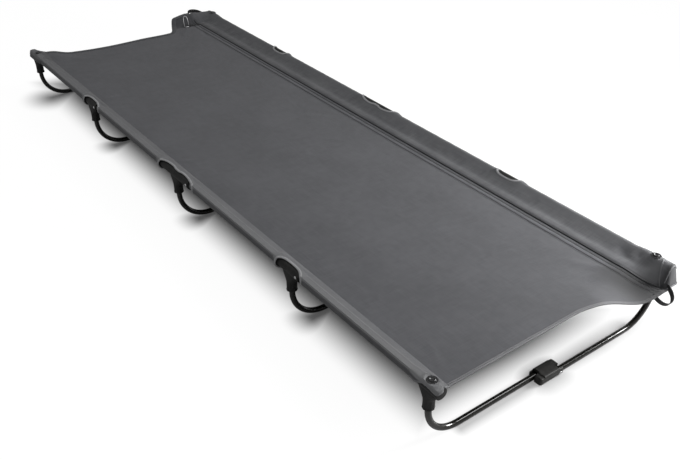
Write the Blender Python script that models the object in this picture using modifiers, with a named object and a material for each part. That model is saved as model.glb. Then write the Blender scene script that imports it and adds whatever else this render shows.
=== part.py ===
"""Low folding camp bed: two side poles, five two-part legs and a fabric bed.

Metres, +Z up. X runs across the bed, with the near side at -X. Y runs along it, with the
head end at +Y. The origin is on the floor under the middle of the bed.
"""
import math

import bmesh
import bpy
from mathutils import Matrix, Vector

# Clearance between pieces that touch
GAP = 0.0003

# Places of the legs along the bed
END_BAY = 0.430
MIDDLE_BAY = 0.500

# Side poles
POLE_X = 0.314
POLE_Z = 0.146
POLE_RADIUS = 0.0095
POLE_WALL = 0.0012
POLE_SIDES = 12
FERRULE_HALF_LENGTH = 0.050
FERRULE_WALL = 0.0010

# Bent leg tubes
TUBE_RADIUS = 0.0065
TUBE_WALL = 0.0012
TUBE_SIDES = 10
BEND_RADIUS = 0.080
BEND_STEPS = 6

# Folding knuckle in the middle of each leg
KNUCKLE_HALF_LENGTH = 0.034
KNUCKLE_WALL = 0.0024
KNUCKLE_WEB = 0.0024
KNUCKLE_ROOF = 0.0066
KNUCKLE_END_WALL = 0.0035
KNUCKLE_FOOT_GAP = 0.0005
KNUCKLE_ROUNDING = 0.0022
TUBE_END_CLEARANCE = 0.0025
PIN_INSET = 0.010
PIN_RADIUS = 0.0022
PIN_HEAD_RADIUS = 0.0036
PIN_HEAD_TOP_RADIUS = 0.0025
PIN_HEAD_HEIGHT = 0.0012
PIN_SIDES = 8
ROOF_SETBACK = 0.0042

# Plastic sockets that join the legs to the poles
SOCKET_WALL = 0.0025
COLLAR_WALL = 0.0042
COLLAR_DROP = 0.054
COLLAR_LENGTH = 0.022
FLARE_HALF_LENGTH = 0.027
FLARE_MARGIN = 0.0015
FLARE_SINK = 0.003
SOCKET_HALF_LENGTH = 0.040
JOINING_SOCKET_HALF_LENGTH = 0.075
END_SOCKET_INNER_MARGIN = 0.002
END_SOCKET_OUTER_MARGIN = 0.003

# Rivets and press studs
RIVET_INSET = 0.009
RIVET_RADIUS = 0.0016
RIVET_HEAD_RADIUS = 0.0032
RIVET_HEAD_TOP_RADIUS = 0.0019
RIVET_HEAD_HEIGHT = 0.0014
RIVET_HEAD_EDGE = 0.0011
RIVET_GRIP = 0.0012
STUD_INSET = 0.004
STUD_RADIUS = 0.0070
STUD_RING_OUTER = 0.0060
STUD_RING_INNER = 0.0043
STUD_DISH_RADIUS = 0.0031
STUD_HEIGHT = 0.0034
STUD_DISH_HEIGHT = 0.0025
STUD_EDGE_HEIGHT = 0.0019
STUD_SHANK_RADIUS = 0.0024
STUD_SIDES = 12

# Fabric bed
FABRIC = 0.0012
SLEEVE_BAND = 0.059
PANEL_DROP = 0.0025
NOTCH_MARGIN = 0.0025
NOTCH_ROUNDING = 0.006
POCKET_LENGTH = 0.045
POCKET_HEM_DROP = 0.010
POCKET_SEAM = 0.0048
HEAD_MIDDLE_SHORT = 0.054
HEAD_CORNER_OVER = 0.008
FOOT_MIDDLE_OVER = 0.010
FOOT_CORNER_OVER = 0.025
HEM_POINTS = 16
HEM_POWER = 3

# Webbing pull loops on the far corners
LOOP_REACH = 0.080
LOOP_INSET = 0.037
LOOP_RISE = 0.004
LOOP_HALF_SPREAD = 0.024
LOOP_BAND_WIDTH = 0.012
LOOP_BAND = 0.0015
LOOP_POINTS = 14
FOOT_LOOP_TILT = math.radians(45)
HEAD_LOOP_TILT = math.radians(100)

# Places that follow from the ones above
END_LEG_Y = MIDDLE_BAY + END_BAY
LEG_Y = (END_LEG_Y, MIDDLE_BAY, 0.0, -MIDDLE_BAY, -END_LEG_Y)
LANE = KNUCKLE_WEB / 2 + GAP + TUBE_RADIUS
TUBE_Z = TUBE_RADIUS * math.cos(math.pi / TUBE_SIDES)
PIN_X = KNUCKLE_HALF_LENGTH - PIN_INSET
TUBE_END_X = KNUCKLE_HALF_LENGTH - KNUCKLE_END_WALL - TUBE_END_CLEARANCE
STUD_Y = END_LEG_Y - STUD_INSET
SEAM_X = POLE_X - SLEEVE_BAND
SLEEVE_EDGE_X = SEAM_X + GAP
PANEL_Z = POLE_Z - PANEL_DROP
POCKET_START_Y = END_LEG_Y - POCKET_LENGTH
LOOP_REACH_Y = END_LEG_Y + LOOP_REACH

# Sizes that follow from the ones above
KNUCKLE_HALF_WIDTH = LANE + TUBE_RADIUS + GAP + KNUCKLE_WALL
ROOF_UNDERSIDE = 2 * TUBE_Z + GAP
SOCKET_BORE = POLE_RADIUS + GAP
BARREL_RADIUS = SOCKET_BORE + SOCKET_WALL
COLLAR_RADIUS = TUBE_RADIUS + GAP + COLLAR_WALL
COLLAR_BOTTOM = POLE_Z - COLLAR_DROP
FLARE_HALF_WIDTH = BARREL_RADIUS - FLARE_MARGIN
END_SOCKET_INNER = FLARE_HALF_LENGTH + END_SOCKET_INNER_MARGIN
END_SOCKET_OUTER = FLARE_HALF_LENGTH + END_SOCKET_OUTER_MARGIN
TUBE_BORE = (TUBE_RADIUS + GAP) / math.cos(math.pi / TUBE_SIDES)
TUBE_BORE_TOP = POLE_Z - SOCKET_BORE - SOCKET_WALL
PIN_HOLE = (PIN_RADIUS + GAP) / math.cos(math.pi / PIN_SIDES)
RIVET_HOLE = (RIVET_RADIUS + GAP) / math.cos(math.pi / PIN_SIDES)
STUD_HOLE = (STUD_SHANK_RADIUS + GAP) / math.cos(math.pi / STUD_SIDES)
SLEEVE_BORE = POLE_RADIUS + GAP
POCKET_BORE = BARREL_RADIUS + GAP

# Turns the tube's section so that it lies on a flat side
TUBE_FACET_TURN = math.fmod(math.pi / 2, 2 * math.pi / TUBE_SIDES) - math.pi / TUBE_SIDES
HALF_TURN = Matrix.Rotation(math.pi, 4, "Z")

# The sockets on the near side, from the head end to the foot end. Each runs from "back", on
# its foot side, to "front", on its head side, and an end socket is closed at its outer end.
# The far side holds the same pieces turned by half a turn.
NEAR_SOCKETS = (
    {"y": LEG_Y[0] + LANE, "back": END_SOCKET_INNER, "front": END_SOCKET_OUTER, "closed": 1},
    {"y": LEG_Y[1] + LANE, "back": SOCKET_HALF_LENGTH, "front": SOCKET_HALF_LENGTH, "closed": 0},
    {"y": LEG_Y[2] + LANE, "back": JOINING_SOCKET_HALF_LENGTH,
     "front": JOINING_SOCKET_HALF_LENGTH, "closed": 0},
    {"y": LEG_Y[3] + LANE, "back": SOCKET_HALF_LENGTH, "front": SOCKET_HALF_LENGTH, "closed": 0},
    {"y": LEG_Y[4] + LANE, "back": END_SOCKET_OUTER, "front": END_SOCKET_INNER, "closed": -1},
)
MIDDLE_SOCKETS = NEAR_SOCKETS[1:4]


# Scene, collections and frames

for old in list(bpy.data.objects):
    bpy.data.objects.remove(old, do_unlink=True)

cot = bpy.data.collections.new("camping_cot")
cutters = bpy.data.collections.new("cutters")
for collection in (cot, cutters):
    bpy.context.scene.collection.children.link(collection)


def frame_empty(name, place):
    """An empty on the axis that a group of pieces turns about."""
    empty = bpy.data.objects.new(name, None)
    empty.location = place
    cot.objects.link(empty)
    return empty


near_frame = frame_empty("near_frame_axis", (0, 0, 0))
knuckle_row = frame_empty("knuckle_row_axis", (-PIN_X, 0, TUBE_Z))
far_frame = frame_empty("far_frame_axis", (PIN_X, 0, TUBE_Z))


def finish_material(name, colour, roughness, metallic=0.0):
    """A plain surface of one colour."""
    material = bpy.data.materials.new(name)
    material.use_nodes = True
    shader = material.node_tree.nodes["Principled BSDF"]
    shader.inputs["Base Color"].default_value = (*colour, 1.0)
    shader.inputs["Roughness"].default_value = roughness
    shader.inputs["Metallic"].default_value = metallic
    return material


BED_FABRIC = finish_material("charcoal_fabric", (0.085, 0.087, 0.097), 0.85)
SLEEVE_FABRIC = finish_material("sleeve_fabric", (0.11, 0.112, 0.12), 0.85)
BLACK_PLASTIC = finish_material("black_plastic", (0.018, 0.018, 0.019), 0.42)
COATED_TUBE = finish_material("black_coated_tube", (0.012, 0.012, 0.013), 0.22)
GREY_POLE = finish_material("grey_pole", (0.16, 0.165, 0.17), 0.35, 0.8)
STEEL = finish_material("bright_steel", (0.62, 0.62, 0.63), 0.3, 1.0)
WEBBING = finish_material("black_webbing", (0.014, 0.014, 0.015), 0.9)


# Ways to make a solid

def loose(name, mesh):
    """A working object outside the finished bed."""
    obj = bpy.data.objects.new(name, mesh)
    cutters.objects.link(obj)
    obj.hide_render = True
    obj.display_type = "WIRE"
    return obj


def evaluated_mesh(obj, name):
    """The object's shape in the world, with its modifiers in and its caps welded."""
    bpy.context.view_layer.update()
    graph = bpy.context.evaluated_depsgraph_get()
    mesh = bpy.data.meshes.new_from_object(obj.evaluated_get(graph))
    mesh.name = name
    mesh.transform(obj.matrix_world)
    form = bmesh.new()
    form.from_mesh(mesh)
    bmesh.ops.remove_doubles(form, verts=form.verts, dist=1e-6)
    form.to_mesh(mesh)
    form.free()
    return mesh


def solid_mesh(body, name, added=(), cut=()):
    """The body joined with some solids and cut by others, as one mesh."""
    steps = [("UNION", tool) for tool in added] + [("DIFFERENCE", tool) for tool in cut]
    for operation, tool in steps:
        boolean = body.modifiers.new(operation.lower(), "BOOLEAN")
        boolean.operation = operation
        boolean.object = tool
    mesh = evaluated_mesh(body, name)
    for used in (body, *added, *cut):
        bpy.data.objects.remove(used, do_unlink=True)
    return mesh


def cylinder(start, end, radius, sides, open_ended=False):
    """A straight round bar, or its open skin, between two points."""
    start, end = Vector(start), Vector(end)
    form = bmesh.new()
    bmesh.ops.create_cone(form, cap_ends=not open_ended, segments=sides, radius1=radius,
                          radius2=radius, depth=(end - start).length)
    turn = (end - start).to_track_quat("Z", "Y").to_matrix().to_4x4()
    form.transform(Matrix.Translation((start + end) / 2) @ turn)
    mesh = bpy.data.meshes.new("cylinder")
    form.to_mesh(mesh)
    form.free()
    return loose("cylinder", mesh)


def box(low, high, rounding=0.0, axis=None):
    """A box between two corners, with the edges along one axis, or all of them, rounded."""
    low, high = Vector(low), Vector(high)
    form = bmesh.new()
    bmesh.ops.create_cube(form, size=1.0)
    form.transform(Matrix.Translation((low + high) / 2) @ Matrix.Diagonal((*(high - low), 1.0)))
    if rounding:
        edges = form.edges[:]
        if axis is not None:
            edges = [e for e in edges if abs((e.verts[0].co - e.verts[1].co)[axis]) > 1e-5]
        bmesh.ops.bevel(form, geom=edges, offset=rounding, segments=2, profile=0.5,
                        affect="EDGES")
    mesh = bpy.data.meshes.new("box")
    form.to_mesh(mesh)
    form.free()
    return loose("box", mesh)


def extruded(outlines, low_y, high_y):
    """Outlines in the XZ plane, the later ones as holes in the first, drawn out along Y."""
    curve = bpy.data.curves.new("outline", "CURVE")
    curve.dimensions = "2D"
    curve.fill_mode = "BOTH"
    curve.extrude = (high_y - low_y) / 2
    for outline in outlines:
        spline = curve.splines.new("POLY")
        spline.points.add(len(outline) - 1)
        spline.use_cyclic_u = True
        for point, (x, z) in zip(spline.points, outline):
            point.co = (x, z, 0, 1)
    obj = loose("outline", curve)
    obj.rotation_euler = (math.pi / 2, 0, 0)
    obj.location = (0, (low_y + high_y) / 2, 0)
    mesh = evaluated_mesh(obj, "outline")
    bpy.data.objects.remove(obj, do_unlink=True)
    return loose("outline", mesh)


def turned(profile, sides):
    """A shape turned about Z. The profile runs down the outer side, from axis to axis."""
    form = bmesh.new()
    ring = [form.verts.new((radius, 0, z)) for radius, z in profile]
    for upper, lower in zip(ring, ring[1:]):
        form.edges.new((upper, lower))
    mesh = bpy.data.meshes.new("profile")
    form.to_mesh(mesh)
    form.free()
    obj = loose("turned", mesh)
    screw = obj.modifiers.new("turn", "SCREW")
    screw.steps = sides
    screw.render_steps = sides
    screw.use_merge_vertices = True
    screw.merge_threshold = 1e-5
    result = evaluated_mesh(obj, "turned")
    bpy.data.objects.remove(obj, do_unlink=True)
    return result


def piece(name, mesh, material, frame, place=None, sharp=40):
    """One finished piece of the bed, which turns with its frame's empty."""
    if not mesh.materials:
        mesh.materials.append(material)
    mesh.shade_smooth()
    mesh.set_sharp_from_angle(angle=math.radians(sharp))
    obj = bpy.data.objects.new(name, mesh)
    cot.objects.link(obj)
    obj.parent = frame
    obj.matrix_parent_inverse = Matrix.Translation(-frame.location)
    obj.matrix_basis = place or Matrix.Identity(4)
    return obj


# Side poles, in two sections a side that a ferrule joins inside the middle socket

def socket_ends(socket):
    return socket["y"] - socket["back"], socket["y"] + socket["front"]


def rivet_y(socket):
    """Where the rivet of a middle socket is, near its foot end."""
    return socket_ends(socket)[0] + RIVET_INSET


def hollow_bar(low_y, high_y, radius, wall):
    """A straight tube along the near pole's axis."""
    bar = cylinder((-POLE_X, low_y, POLE_Z), (-POLE_X, high_y, POLE_Z), radius, POLE_SIDES, True)
    solidify = bar.modifiers.new("wall", "SOLIDIFY")
    solidify.thickness = wall
    solidify.offset = -1
    return bar


def rivet_drill(y):
    """A drill for one rivet, through the outer walls of a socket and its pole."""
    inner = (-POLE_X, y, POLE_Z)
    outer = (-POLE_X - 2 * BARREL_RADIUS, y, POLE_Z)
    return cylinder(inner, outer, RIVET_HOLE, PIN_SIDES)


def stud_drill(y):
    """A drill for one press stud, down through the fabric, the socket and the pole."""
    return cylinder((-POLE_X, y, POLE_Z), (-POLE_X, y, POLE_Z + 2 * BARREL_RADIUS),
                    STUD_HOLE, STUD_SIDES)


def pole_section_mesh(name, low_y, high_y, stud_y):
    rivets = [rivet_y(socket) for socket in MIDDLE_SOCKETS]
    drills = [rivet_drill(y) for y in rivets if low_y < y < high_y] + [stud_drill(stud_y)]
    return solid_mesh(hollow_bar(low_y, high_y, POLE_RADIUS, POLE_WALL), name, cut=drills)


pole_reach = GAP + SOCKET_WALL
foot_pole = pole_section_mesh("foot_pole", socket_ends(NEAR_SOCKETS[4])[0] + pole_reach,
                              -GAP / 2, -STUD_Y)
head_pole = pole_section_mesh("head_pole", GAP / 2,
                              socket_ends(NEAR_SOCKETS[0])[1] - pole_reach, STUD_Y)
piece("near_pole_foot", foot_pole, GREY_POLE, near_frame)
piece("near_pole_head", head_pole, GREY_POLE, near_frame)
piece("far_pole_head", foot_pole, GREY_POLE, far_frame, HALF_TURN)
piece("far_pole_foot", head_pole, GREY_POLE, far_frame, HALF_TURN)

ferrule = solid_mesh(hollow_bar(-FERRULE_HALF_LENGTH, FERRULE_HALF_LENGTH,
                                POLE_RADIUS - POLE_WALL - GAP, FERRULE_WALL), "ferrule")
piece("near_pole_ferrule", ferrule, STEEL, near_frame)
piece("far_pole_ferrule", ferrule, STEEL, far_frame, HALF_TURN)


# Leg sockets: a barrel round the pole, and a flare under it down to the leg's collar

def funnel(y):
    """The collar and the flare above it, which widens along the pole."""
    form = bmesh.new()
    bmesh.ops.create_cone(form, cap_ends=True, segments=POLE_SIDES, radius1=COLLAR_RADIUS,
                          radius2=COLLAR_RADIUS, depth=COLLAR_LENGTH)
    bmesh.ops.translate(form, verts=form.verts, vec=(0, 0, COLLAR_BOTTOM + COLLAR_LENGTH / 2))
    top = max(form.faces, key=lambda face: face.calc_center_median().z)
    grown = bmesh.ops.extrude_discrete_faces(form, faces=[top])["faces"][0]
    for corner in grown.verts:
        corner.co.z = POLE_Z - FLARE_SINK
        corner.co.x *= FLARE_HALF_WIDTH / COLLAR_RADIUS
        corner.co.y *= FLARE_HALF_LENGTH / COLLAR_RADIUS
    form.transform(Matrix.Translation((-POLE_X, y, 0)))
    mesh = bpy.data.meshes.new("funnel")
    form.to_mesh(mesh)
    form.free()
    return loose("funnel", mesh)


def socket_mesh(name, socket):
    low, high = socket_ends(socket)
    bore_low = low + SOCKET_WALL if socket["closed"] < 0 else low - SOCKET_WALL
    bore_high = high - SOCKET_WALL if socket["closed"] > 0 else high + SOCKET_WALL
    barrel = cylinder((-POLE_X, low, POLE_Z), (-POLE_X, high, POLE_Z), BARREL_RADIUS, POLE_SIDES)
    pole_bore = cylinder((-POLE_X, bore_low, POLE_Z), (-POLE_X, bore_high, POLE_Z),
                         SOCKET_BORE, POLE_SIDES)
    leg_bore = cylinder((-POLE_X, socket["y"], COLLAR_BOTTOM - SOCKET_WALL),
                        (-POLE_X, socket["y"], TUBE_BORE_TOP), TUBE_BORE, TUBE_SIDES)
    drill = stud_drill(socket["closed"] * STUD_Y) if socket["closed"] else rivet_drill(
        rivet_y(socket))
    return solid_mesh(barrel, name, added=[funnel(socket["y"])], cut=[pole_bore, leg_bore, drill])


for number, socket in enumerate(NEAR_SOCKETS, 1):
    mesh = socket_mesh(f"socket_{number}", socket)
    piece(f"near_socket_{number}", mesh, BLACK_PLASTIC, near_frame)
    piece(f"far_socket_{6 - number}", mesh, BLACK_PLASTIC, far_frame, HALF_TURN)


# Legs: two bent tubes each, which pass side by side inside the knuckle

def leg_tube_mesh():
    """The near tube of a leg, from its end in the knuckle to its end in the socket."""
    centre_x = -POLE_X + BEND_RADIUS
    route = [(TUBE_END_X, TUBE_Z)]
    for step in range(BEND_STEPS + 1):
        angle = math.pi / 2 * step / BEND_STEPS
        route.append((centre_x - BEND_RADIUS * math.sin(angle),
                      TUBE_Z + BEND_RADIUS * (1 - math.cos(angle))))
    route.append((-POLE_X, TUBE_BORE_TOP - GAP))
    curve = bpy.data.curves.new("leg_tube", "CURVE")
    curve.dimensions = "3D"
    curve.bevel_depth = TUBE_RADIUS
    curve.bevel_resolution = TUBE_SIDES // 2 - 2
    spline = curve.splines.new("POLY")
    spline.points.add(len(route) - 1)
    for point, (x, z) in zip(spline.points, route):
        point.co = (x, 0, z, 1)
        point.tilt = TUBE_FACET_TURN
    skin = loose("leg_tube", curve)
    tube = loose("leg_tube", evaluated_mesh(skin, "leg_tube"))
    bpy.data.objects.remove(skin, do_unlink=True)
    solidify = tube.modifiers.new("wall", "SOLIDIFY")
    solidify.thickness = TUBE_WALL
    solidify.offset = -1
    solidify.use_even_offset = True
    pin_hole = cylinder((-PIN_X, -2 * TUBE_RADIUS, TUBE_Z), (-PIN_X, 2 * TUBE_RADIUS, TUBE_Z),
                        PIN_HOLE, PIN_SIDES)
    return solid_mesh(tube, "leg_tube", cut=[pin_hole])


leg_tube = leg_tube_mesh()
for number, leg_y in enumerate(LEG_Y, 1):
    piece(f"near_leg_{number}", leg_tube, COATED_TUBE, near_frame,
          Matrix.Translation((0, leg_y + LANE, 0)))
    piece(f"far_leg_{number}", leg_tube, COATED_TUBE, far_frame,
          Matrix.Translation((0, leg_y - LANE, 0)) @ HALF_TURN)


# Knuckles: a block open below, with a lane for each tube and a pin across each lane

def knuckle_mesh():
    top = ROOF_UNDERSIDE + KNUCKLE_ROOF
    block = box((-KNUCKLE_HALF_LENGTH, -KNUCKLE_HALF_WIDTH, KNUCKLE_FOOT_GAP),
                (KNUCKLE_HALF_LENGTH, KNUCKLE_HALF_WIDTH, top), KNUCKLE_ROUNDING)
    lane_low = KNUCKLE_WEB / 2
    lane_high = LANE + TUBE_RADIUS + GAP
    cuts = []
    for side in (1, -1):
        spans = ((-2 * KNUCKLE_HALF_LENGTH, KNUCKLE_HALF_LENGTH - KNUCKLE_END_WALL, ROOF_UNDERSIDE),
                 (-2 * KNUCKLE_HALF_LENGTH, ROOF_SETBACK - PIN_X, 2 * top))
        for start, stop, height in spans:
            ends = sorted((side * start, side * stop))
            lane = sorted((side * lane_low, side * lane_high))
            cuts.append(box((ends[0], lane[0], -top), (ends[1], lane[1], height)))
        cuts.append(cylinder((-side * PIN_X, -side * lane_low * 2, TUBE_Z),
                             (-side * PIN_X, side * 2 * KNUCKLE_HALF_WIDTH, TUBE_Z),
                             PIN_HOLE, PIN_SIDES))
    return solid_mesh(block, "knuckle", cut=cuts)


def pin_mesh():
    """A knuckle pin along +Y, with its tip in the web and its head outside the wall."""
    tip = -KNUCKLE_WEB / 2 + GAP
    seat = KNUCKLE_HALF_WIDTH + GAP
    top = seat + PIN_HEAD_HEIGHT
    profile = ((0, top), (PIN_HEAD_TOP_RADIUS, top), (PIN_HEAD_RADIUS, seat + PIN_HEAD_HEIGHT / 2),
               (PIN_HEAD_RADIUS, seat), (PIN_RADIUS, seat), (PIN_RADIUS, tip), (0, tip))
    mesh = turned(profile, PIN_SIDES)
    mesh.transform(Matrix.Rotation(-math.pi / 2, 4, "X"))
    return mesh


knuckle = knuckle_mesh()
pin = pin_mesh()
for number, leg_y in enumerate(LEG_Y, 1):
    piece(f"knuckle_{number}", knuckle, BLACK_PLASTIC, knuckle_row,
          Matrix.Translation((0, leg_y, 0)))
    piece(f"near_pin_{number}", pin, STEEL, knuckle_row,
          Matrix.Translation((-PIN_X, leg_y, TUBE_Z)))
    piece(f"far_pin_{number}", pin, STEEL, knuckle_row,
          Matrix.Translation((PIN_X, leg_y, TUBE_Z)) @ HALF_TURN)


# Rivets through the sockets into the poles, and press studs through the corner pockets

def rivet_mesh():
    """A rivet along +Z, with the underside of its head at the origin."""
    length = BARREL_RADIUS - POLE_RADIUS + POLE_WALL + RIVET_GRIP
    profile = ((0, RIVET_HEAD_HEIGHT), (RIVET_HEAD_TOP_RADIUS, RIVET_HEAD_EDGE),
               (RIVET_HEAD_RADIUS, GAP), (RIVET_RADIUS, GAP), (RIVET_RADIUS, -length), (0, -length))
    return turned(profile, PIN_SIDES)


def stud_mesh():
    """A press stud along +Z, with its cap just above the fabric at the origin."""
    length = FABRIC + GAP + BARREL_RADIUS - POLE_RADIUS + POLE_WALL + RIVET_GRIP
    profile = ((0, STUD_DISH_HEIGHT), (STUD_DISH_RADIUS, STUD_DISH_HEIGHT),
               (STUD_RING_INNER, STUD_HEIGHT), (STUD_RING_OUTER, STUD_HEIGHT),
               (STUD_RADIUS, STUD_EDGE_HEIGHT), (STUD_RADIUS, GAP),
               (STUD_SHANK_RADIUS, GAP), (STUD_SHANK_RADIUS, -length), (0, -length))
    return turned(profile, STUD_SIDES)


outward = Matrix.Translation((-POLE_X - BARREL_RADIUS, 0, POLE_Z)) @ Matrix.Rotation(
    -math.pi / 2, 4, "Y")
rivet = rivet_mesh()
for number, socket in enumerate(MIDDLE_SOCKETS, 2):
    place = Matrix.Translation((0, rivet_y(socket), 0)) @ outward
    piece(f"near_rivet_{number}", rivet, STEEL, near_frame, place)
    piece(f"far_rivet_{6 - number}", rivet, STEEL, far_frame, HALF_TURN @ place)

stud = stud_mesh()
for near_name, far_name, stud_y in (("near_head_stud", "far_foot_stud", STUD_Y),
                                    ("near_foot_stud", "far_head_stud", -STUD_Y)):
    place = Matrix.Translation((-POLE_X, stud_y, POLE_Z + POCKET_BORE + FABRIC))
    piece(near_name, stud, BLACK_PLASTIC, near_frame, place)
    piece(far_name, stud, BLACK_PLASTIC, far_frame, HALF_TURN @ place)


# Fabric: a flat panel sewn to a sleeve on each pole and to a pocket on each corner

def panel_mesh():
    """The bed panel, with both end hems curved in between the corners."""
    edge = []
    for step in range(HEM_POINTS + 1):
        x = SEAM_X * (1 - 2 * step / HEM_POINTS)
        share = abs(x / SEAM_X) ** HEM_POWER
        edge.append((x, share))
    head = [(x, END_LEG_Y - HEAD_MIDDLE_SHORT + (HEAD_CORNER_OVER + HEAD_MIDDLE_SHORT) * share)
            for x, share in edge]
    foot = [(-x, -END_LEG_Y - FOOT_MIDDLE_OVER - (FOOT_CORNER_OVER - FOOT_MIDDLE_OVER) * share)
            for x, share in edge]
    curve = bpy.data.curves.new("panel", "CURVE")
    curve.dimensions = "2D"
    curve.fill_mode = "BOTH"
    curve.extrude = FABRIC / 2
    spline = curve.splines.new("POLY")
    spline.points.add(len(head + foot) - 1)
    spline.use_cyclic_u = True
    for point, (x, y) in zip(spline.points, head + foot):
        point.co = (x, y, 0, 1)
    obj = loose("panel", curve)
    obj.location = (0, 0, PANEL_Z)
    mesh = evaluated_mesh(obj, "panel")
    bpy.data.objects.remove(obj, do_unlink=True)
    return mesh


def wrap(radius, thickness, first, last, steps):
    """Fabric that runs from the seam round the near pole, seen along it.

    It is an arc of the given radius about the pole, with the seam's point before it. Angles
    run from straight up, outwards and down.
    """
    seam = Vector((-SLEEVE_EDGE_X - thickness, PANEL_Z))
    centre = Vector((-POLE_X, POLE_Z))
    points = [tuple(seam)]
    for step in range(steps + 1):
        angle = first + (last - first) * step / steps
        points.append((centre.x - radius * math.sin(angle), centre.y + radius * math.cos(angle)))
    return points


def tangent_angles(radius, thickness):
    """Where the fabric from the seam meets the arc, on top of the pole and under it."""
    reach = Vector((POLE_X - SLEEVE_EDGE_X - thickness, PANEL_Z - POLE_Z))
    towards = math.atan2(reach.x, reach.y)
    spread = math.acos(radius / reach.length)
    return spread - towards, 2 * math.pi - towards - spread


def sleeve_mesh():
    """The sleeve round the near pole, open where each socket is."""
    outlines = []
    reach = math.hypot(POLE_X - SLEEVE_EDGE_X, POLE_Z - PANEL_Z)
    for radius in (SLEEVE_BORE + FABRIC, SLEEVE_BORE):
        inset = 0.0 if radius > SLEEVE_BORE else FABRIC * reach / SLEEVE_BORE
        first, last = tangent_angles(radius, inset)
        outlines.append(wrap(radius, inset, first, last, POLE_SIDES))
    body = extruded(outlines, -POCKET_START_Y + GAP, POCKET_START_Y - GAP)
    notches = []
    for socket in MIDDLE_SOCKETS:
        low, high = socket_ends(socket)
        notches.append(box((-POLE_X - 2 * SLEEVE_BAND, low - NOTCH_MARGIN, COLLAR_BOTTOM),
                           (-POLE_X + BARREL_RADIUS + GAP, high + NOTCH_MARGIN,
                            POLE_Z + SLEEVE_BAND), NOTCH_ROUNDING, 2))
    return solid_mesh(body, "sleeve", cut=notches)


def pocket_mesh(name, socket):
    """The corner pocket over an end socket, open below and closed at its outer end."""
    end = socket["closed"]
    low, high = socket_ends(socket)
    closed_y = high + GAP if end > 0 else low - GAP
    shapes = []
    for radius in (POCKET_BORE + FABRIC, POCKET_BORE):
        outer = radius > POCKET_BORE
        inset = 0.0 if outer else POCKET_SEAM
        first = tangent_angles(radius, inset)[0]
        outline = wrap(radius, inset, first, math.pi / 2, POLE_SIDES // 2)
        bottom = POLE_Z - POCKET_HEM_DROP - (0.0 if outer else 2 * BARREL_RADIUS)
        outline.append((-POLE_X - radius, bottom))
        outline.append((-SLEEVE_EDGE_X - inset, bottom))
        stop = closed_y + end * (FABRIC if outer else 0.0)
        start = end * (POCKET_START_Y if outer else POCKET_START_Y - FABRIC)
        shapes.append(extruded([outline], min(start, stop), max(start, stop)))
    return solid_mesh(shapes[0], name, cut=[shapes[1], stud_drill(end * STUD_Y)])


piece("bed_panel", panel_mesh(), BED_FABRIC, near_frame)
sleeve = sleeve_mesh()
piece("near_sleeve", sleeve, SLEEVE_FABRIC, near_frame)
piece("far_sleeve", sleeve, SLEEVE_FABRIC, far_frame, HALF_TURN)
head_pocket = pocket_mesh("head_pocket", NEAR_SOCKETS[0])
foot_pocket = pocket_mesh("foot_pocket", NEAR_SOCKETS[4])
piece("near_head_pocket", head_pocket, SLEEVE_FABRIC, near_frame)
piece("near_foot_pocket", foot_pocket, SLEEVE_FABRIC, near_frame)
piece("far_foot_pocket", head_pocket, SLEEVE_FABRIC, far_frame, HALF_TURN)
piece("far_head_pocket", foot_pocket, SLEEVE_FABRIC, far_frame, HALF_TURN)


# Pull loops: a band of webbing sewn by both ends to the end face of each far pocket

def loop_mesh(name, end, pocket_end_y, tilt):
    """A U of webbing, hung from the pocket's end face and tilted outwards by an angle."""
    root_y = pocket_end_y + GAP + abs(math.cos(tilt)) * LOOP_BAND_WIDTH / 2
    tip_margin = (abs(math.cos(tilt)) * LOOP_BAND_WIDTH + math.sin(tilt) * LOOP_BAND) / 2
    depth = (LOOP_REACH_Y - root_y - tip_margin) / math.sin(tilt)
    curve = bpy.data.curves.new("loop", "CURVE")
    curve.dimensions = "3D"
    curve.extrude = LOOP_BAND_WIDTH / 2
    spline = curve.splines.new("POLY")
    spline.points.add(LOOP_POINTS)
    for step, point in enumerate(spline.points):
        angle = math.pi * step / LOOP_POINTS
        point.co = (LOOP_HALF_SPREAD * math.cos(angle), -depth * math.sin(angle), 0, 1)
    obj = loose("loop", curve)
    band = loose("loop", evaluated_mesh(obj, "loop"))
    bpy.data.objects.remove(obj, do_unlink=True)
    solidify = band.modifiers.new("band", "SOLIDIFY")
    solidify.thickness = LOOP_BAND
    solidify.offset = 0
    swing = Matrix.Rotation(math.pi / 2 + end * tilt, 4, "X")
    root = Vector((POLE_X - LOOP_INSET, end * root_y, POLE_Z + LOOP_RISE))
    band.matrix_world = Matrix.Translation(root) @ swing
    return solid_mesh(band, name)


far_foot_end = socket_ends(NEAR_SOCKETS[0])[1] + GAP + FABRIC
far_head_end = -socket_ends(NEAR_SOCKETS[4])[0] + GAP + FABRIC
piece("foot_pull_loop", loop_mesh("foot_loop", -1, far_foot_end, FOOT_LOOP_TILT), WEBBING, far_frame)
piece("head_pull_loop", loop_mesh("head_loop", 1, far_head_end, HEAD_LOOP_TILT), WEBBING, far_frame)
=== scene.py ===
import math

import bmesh
import bpy
import numpy as np
from mathutils import Matrix, Vector, noise


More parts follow.
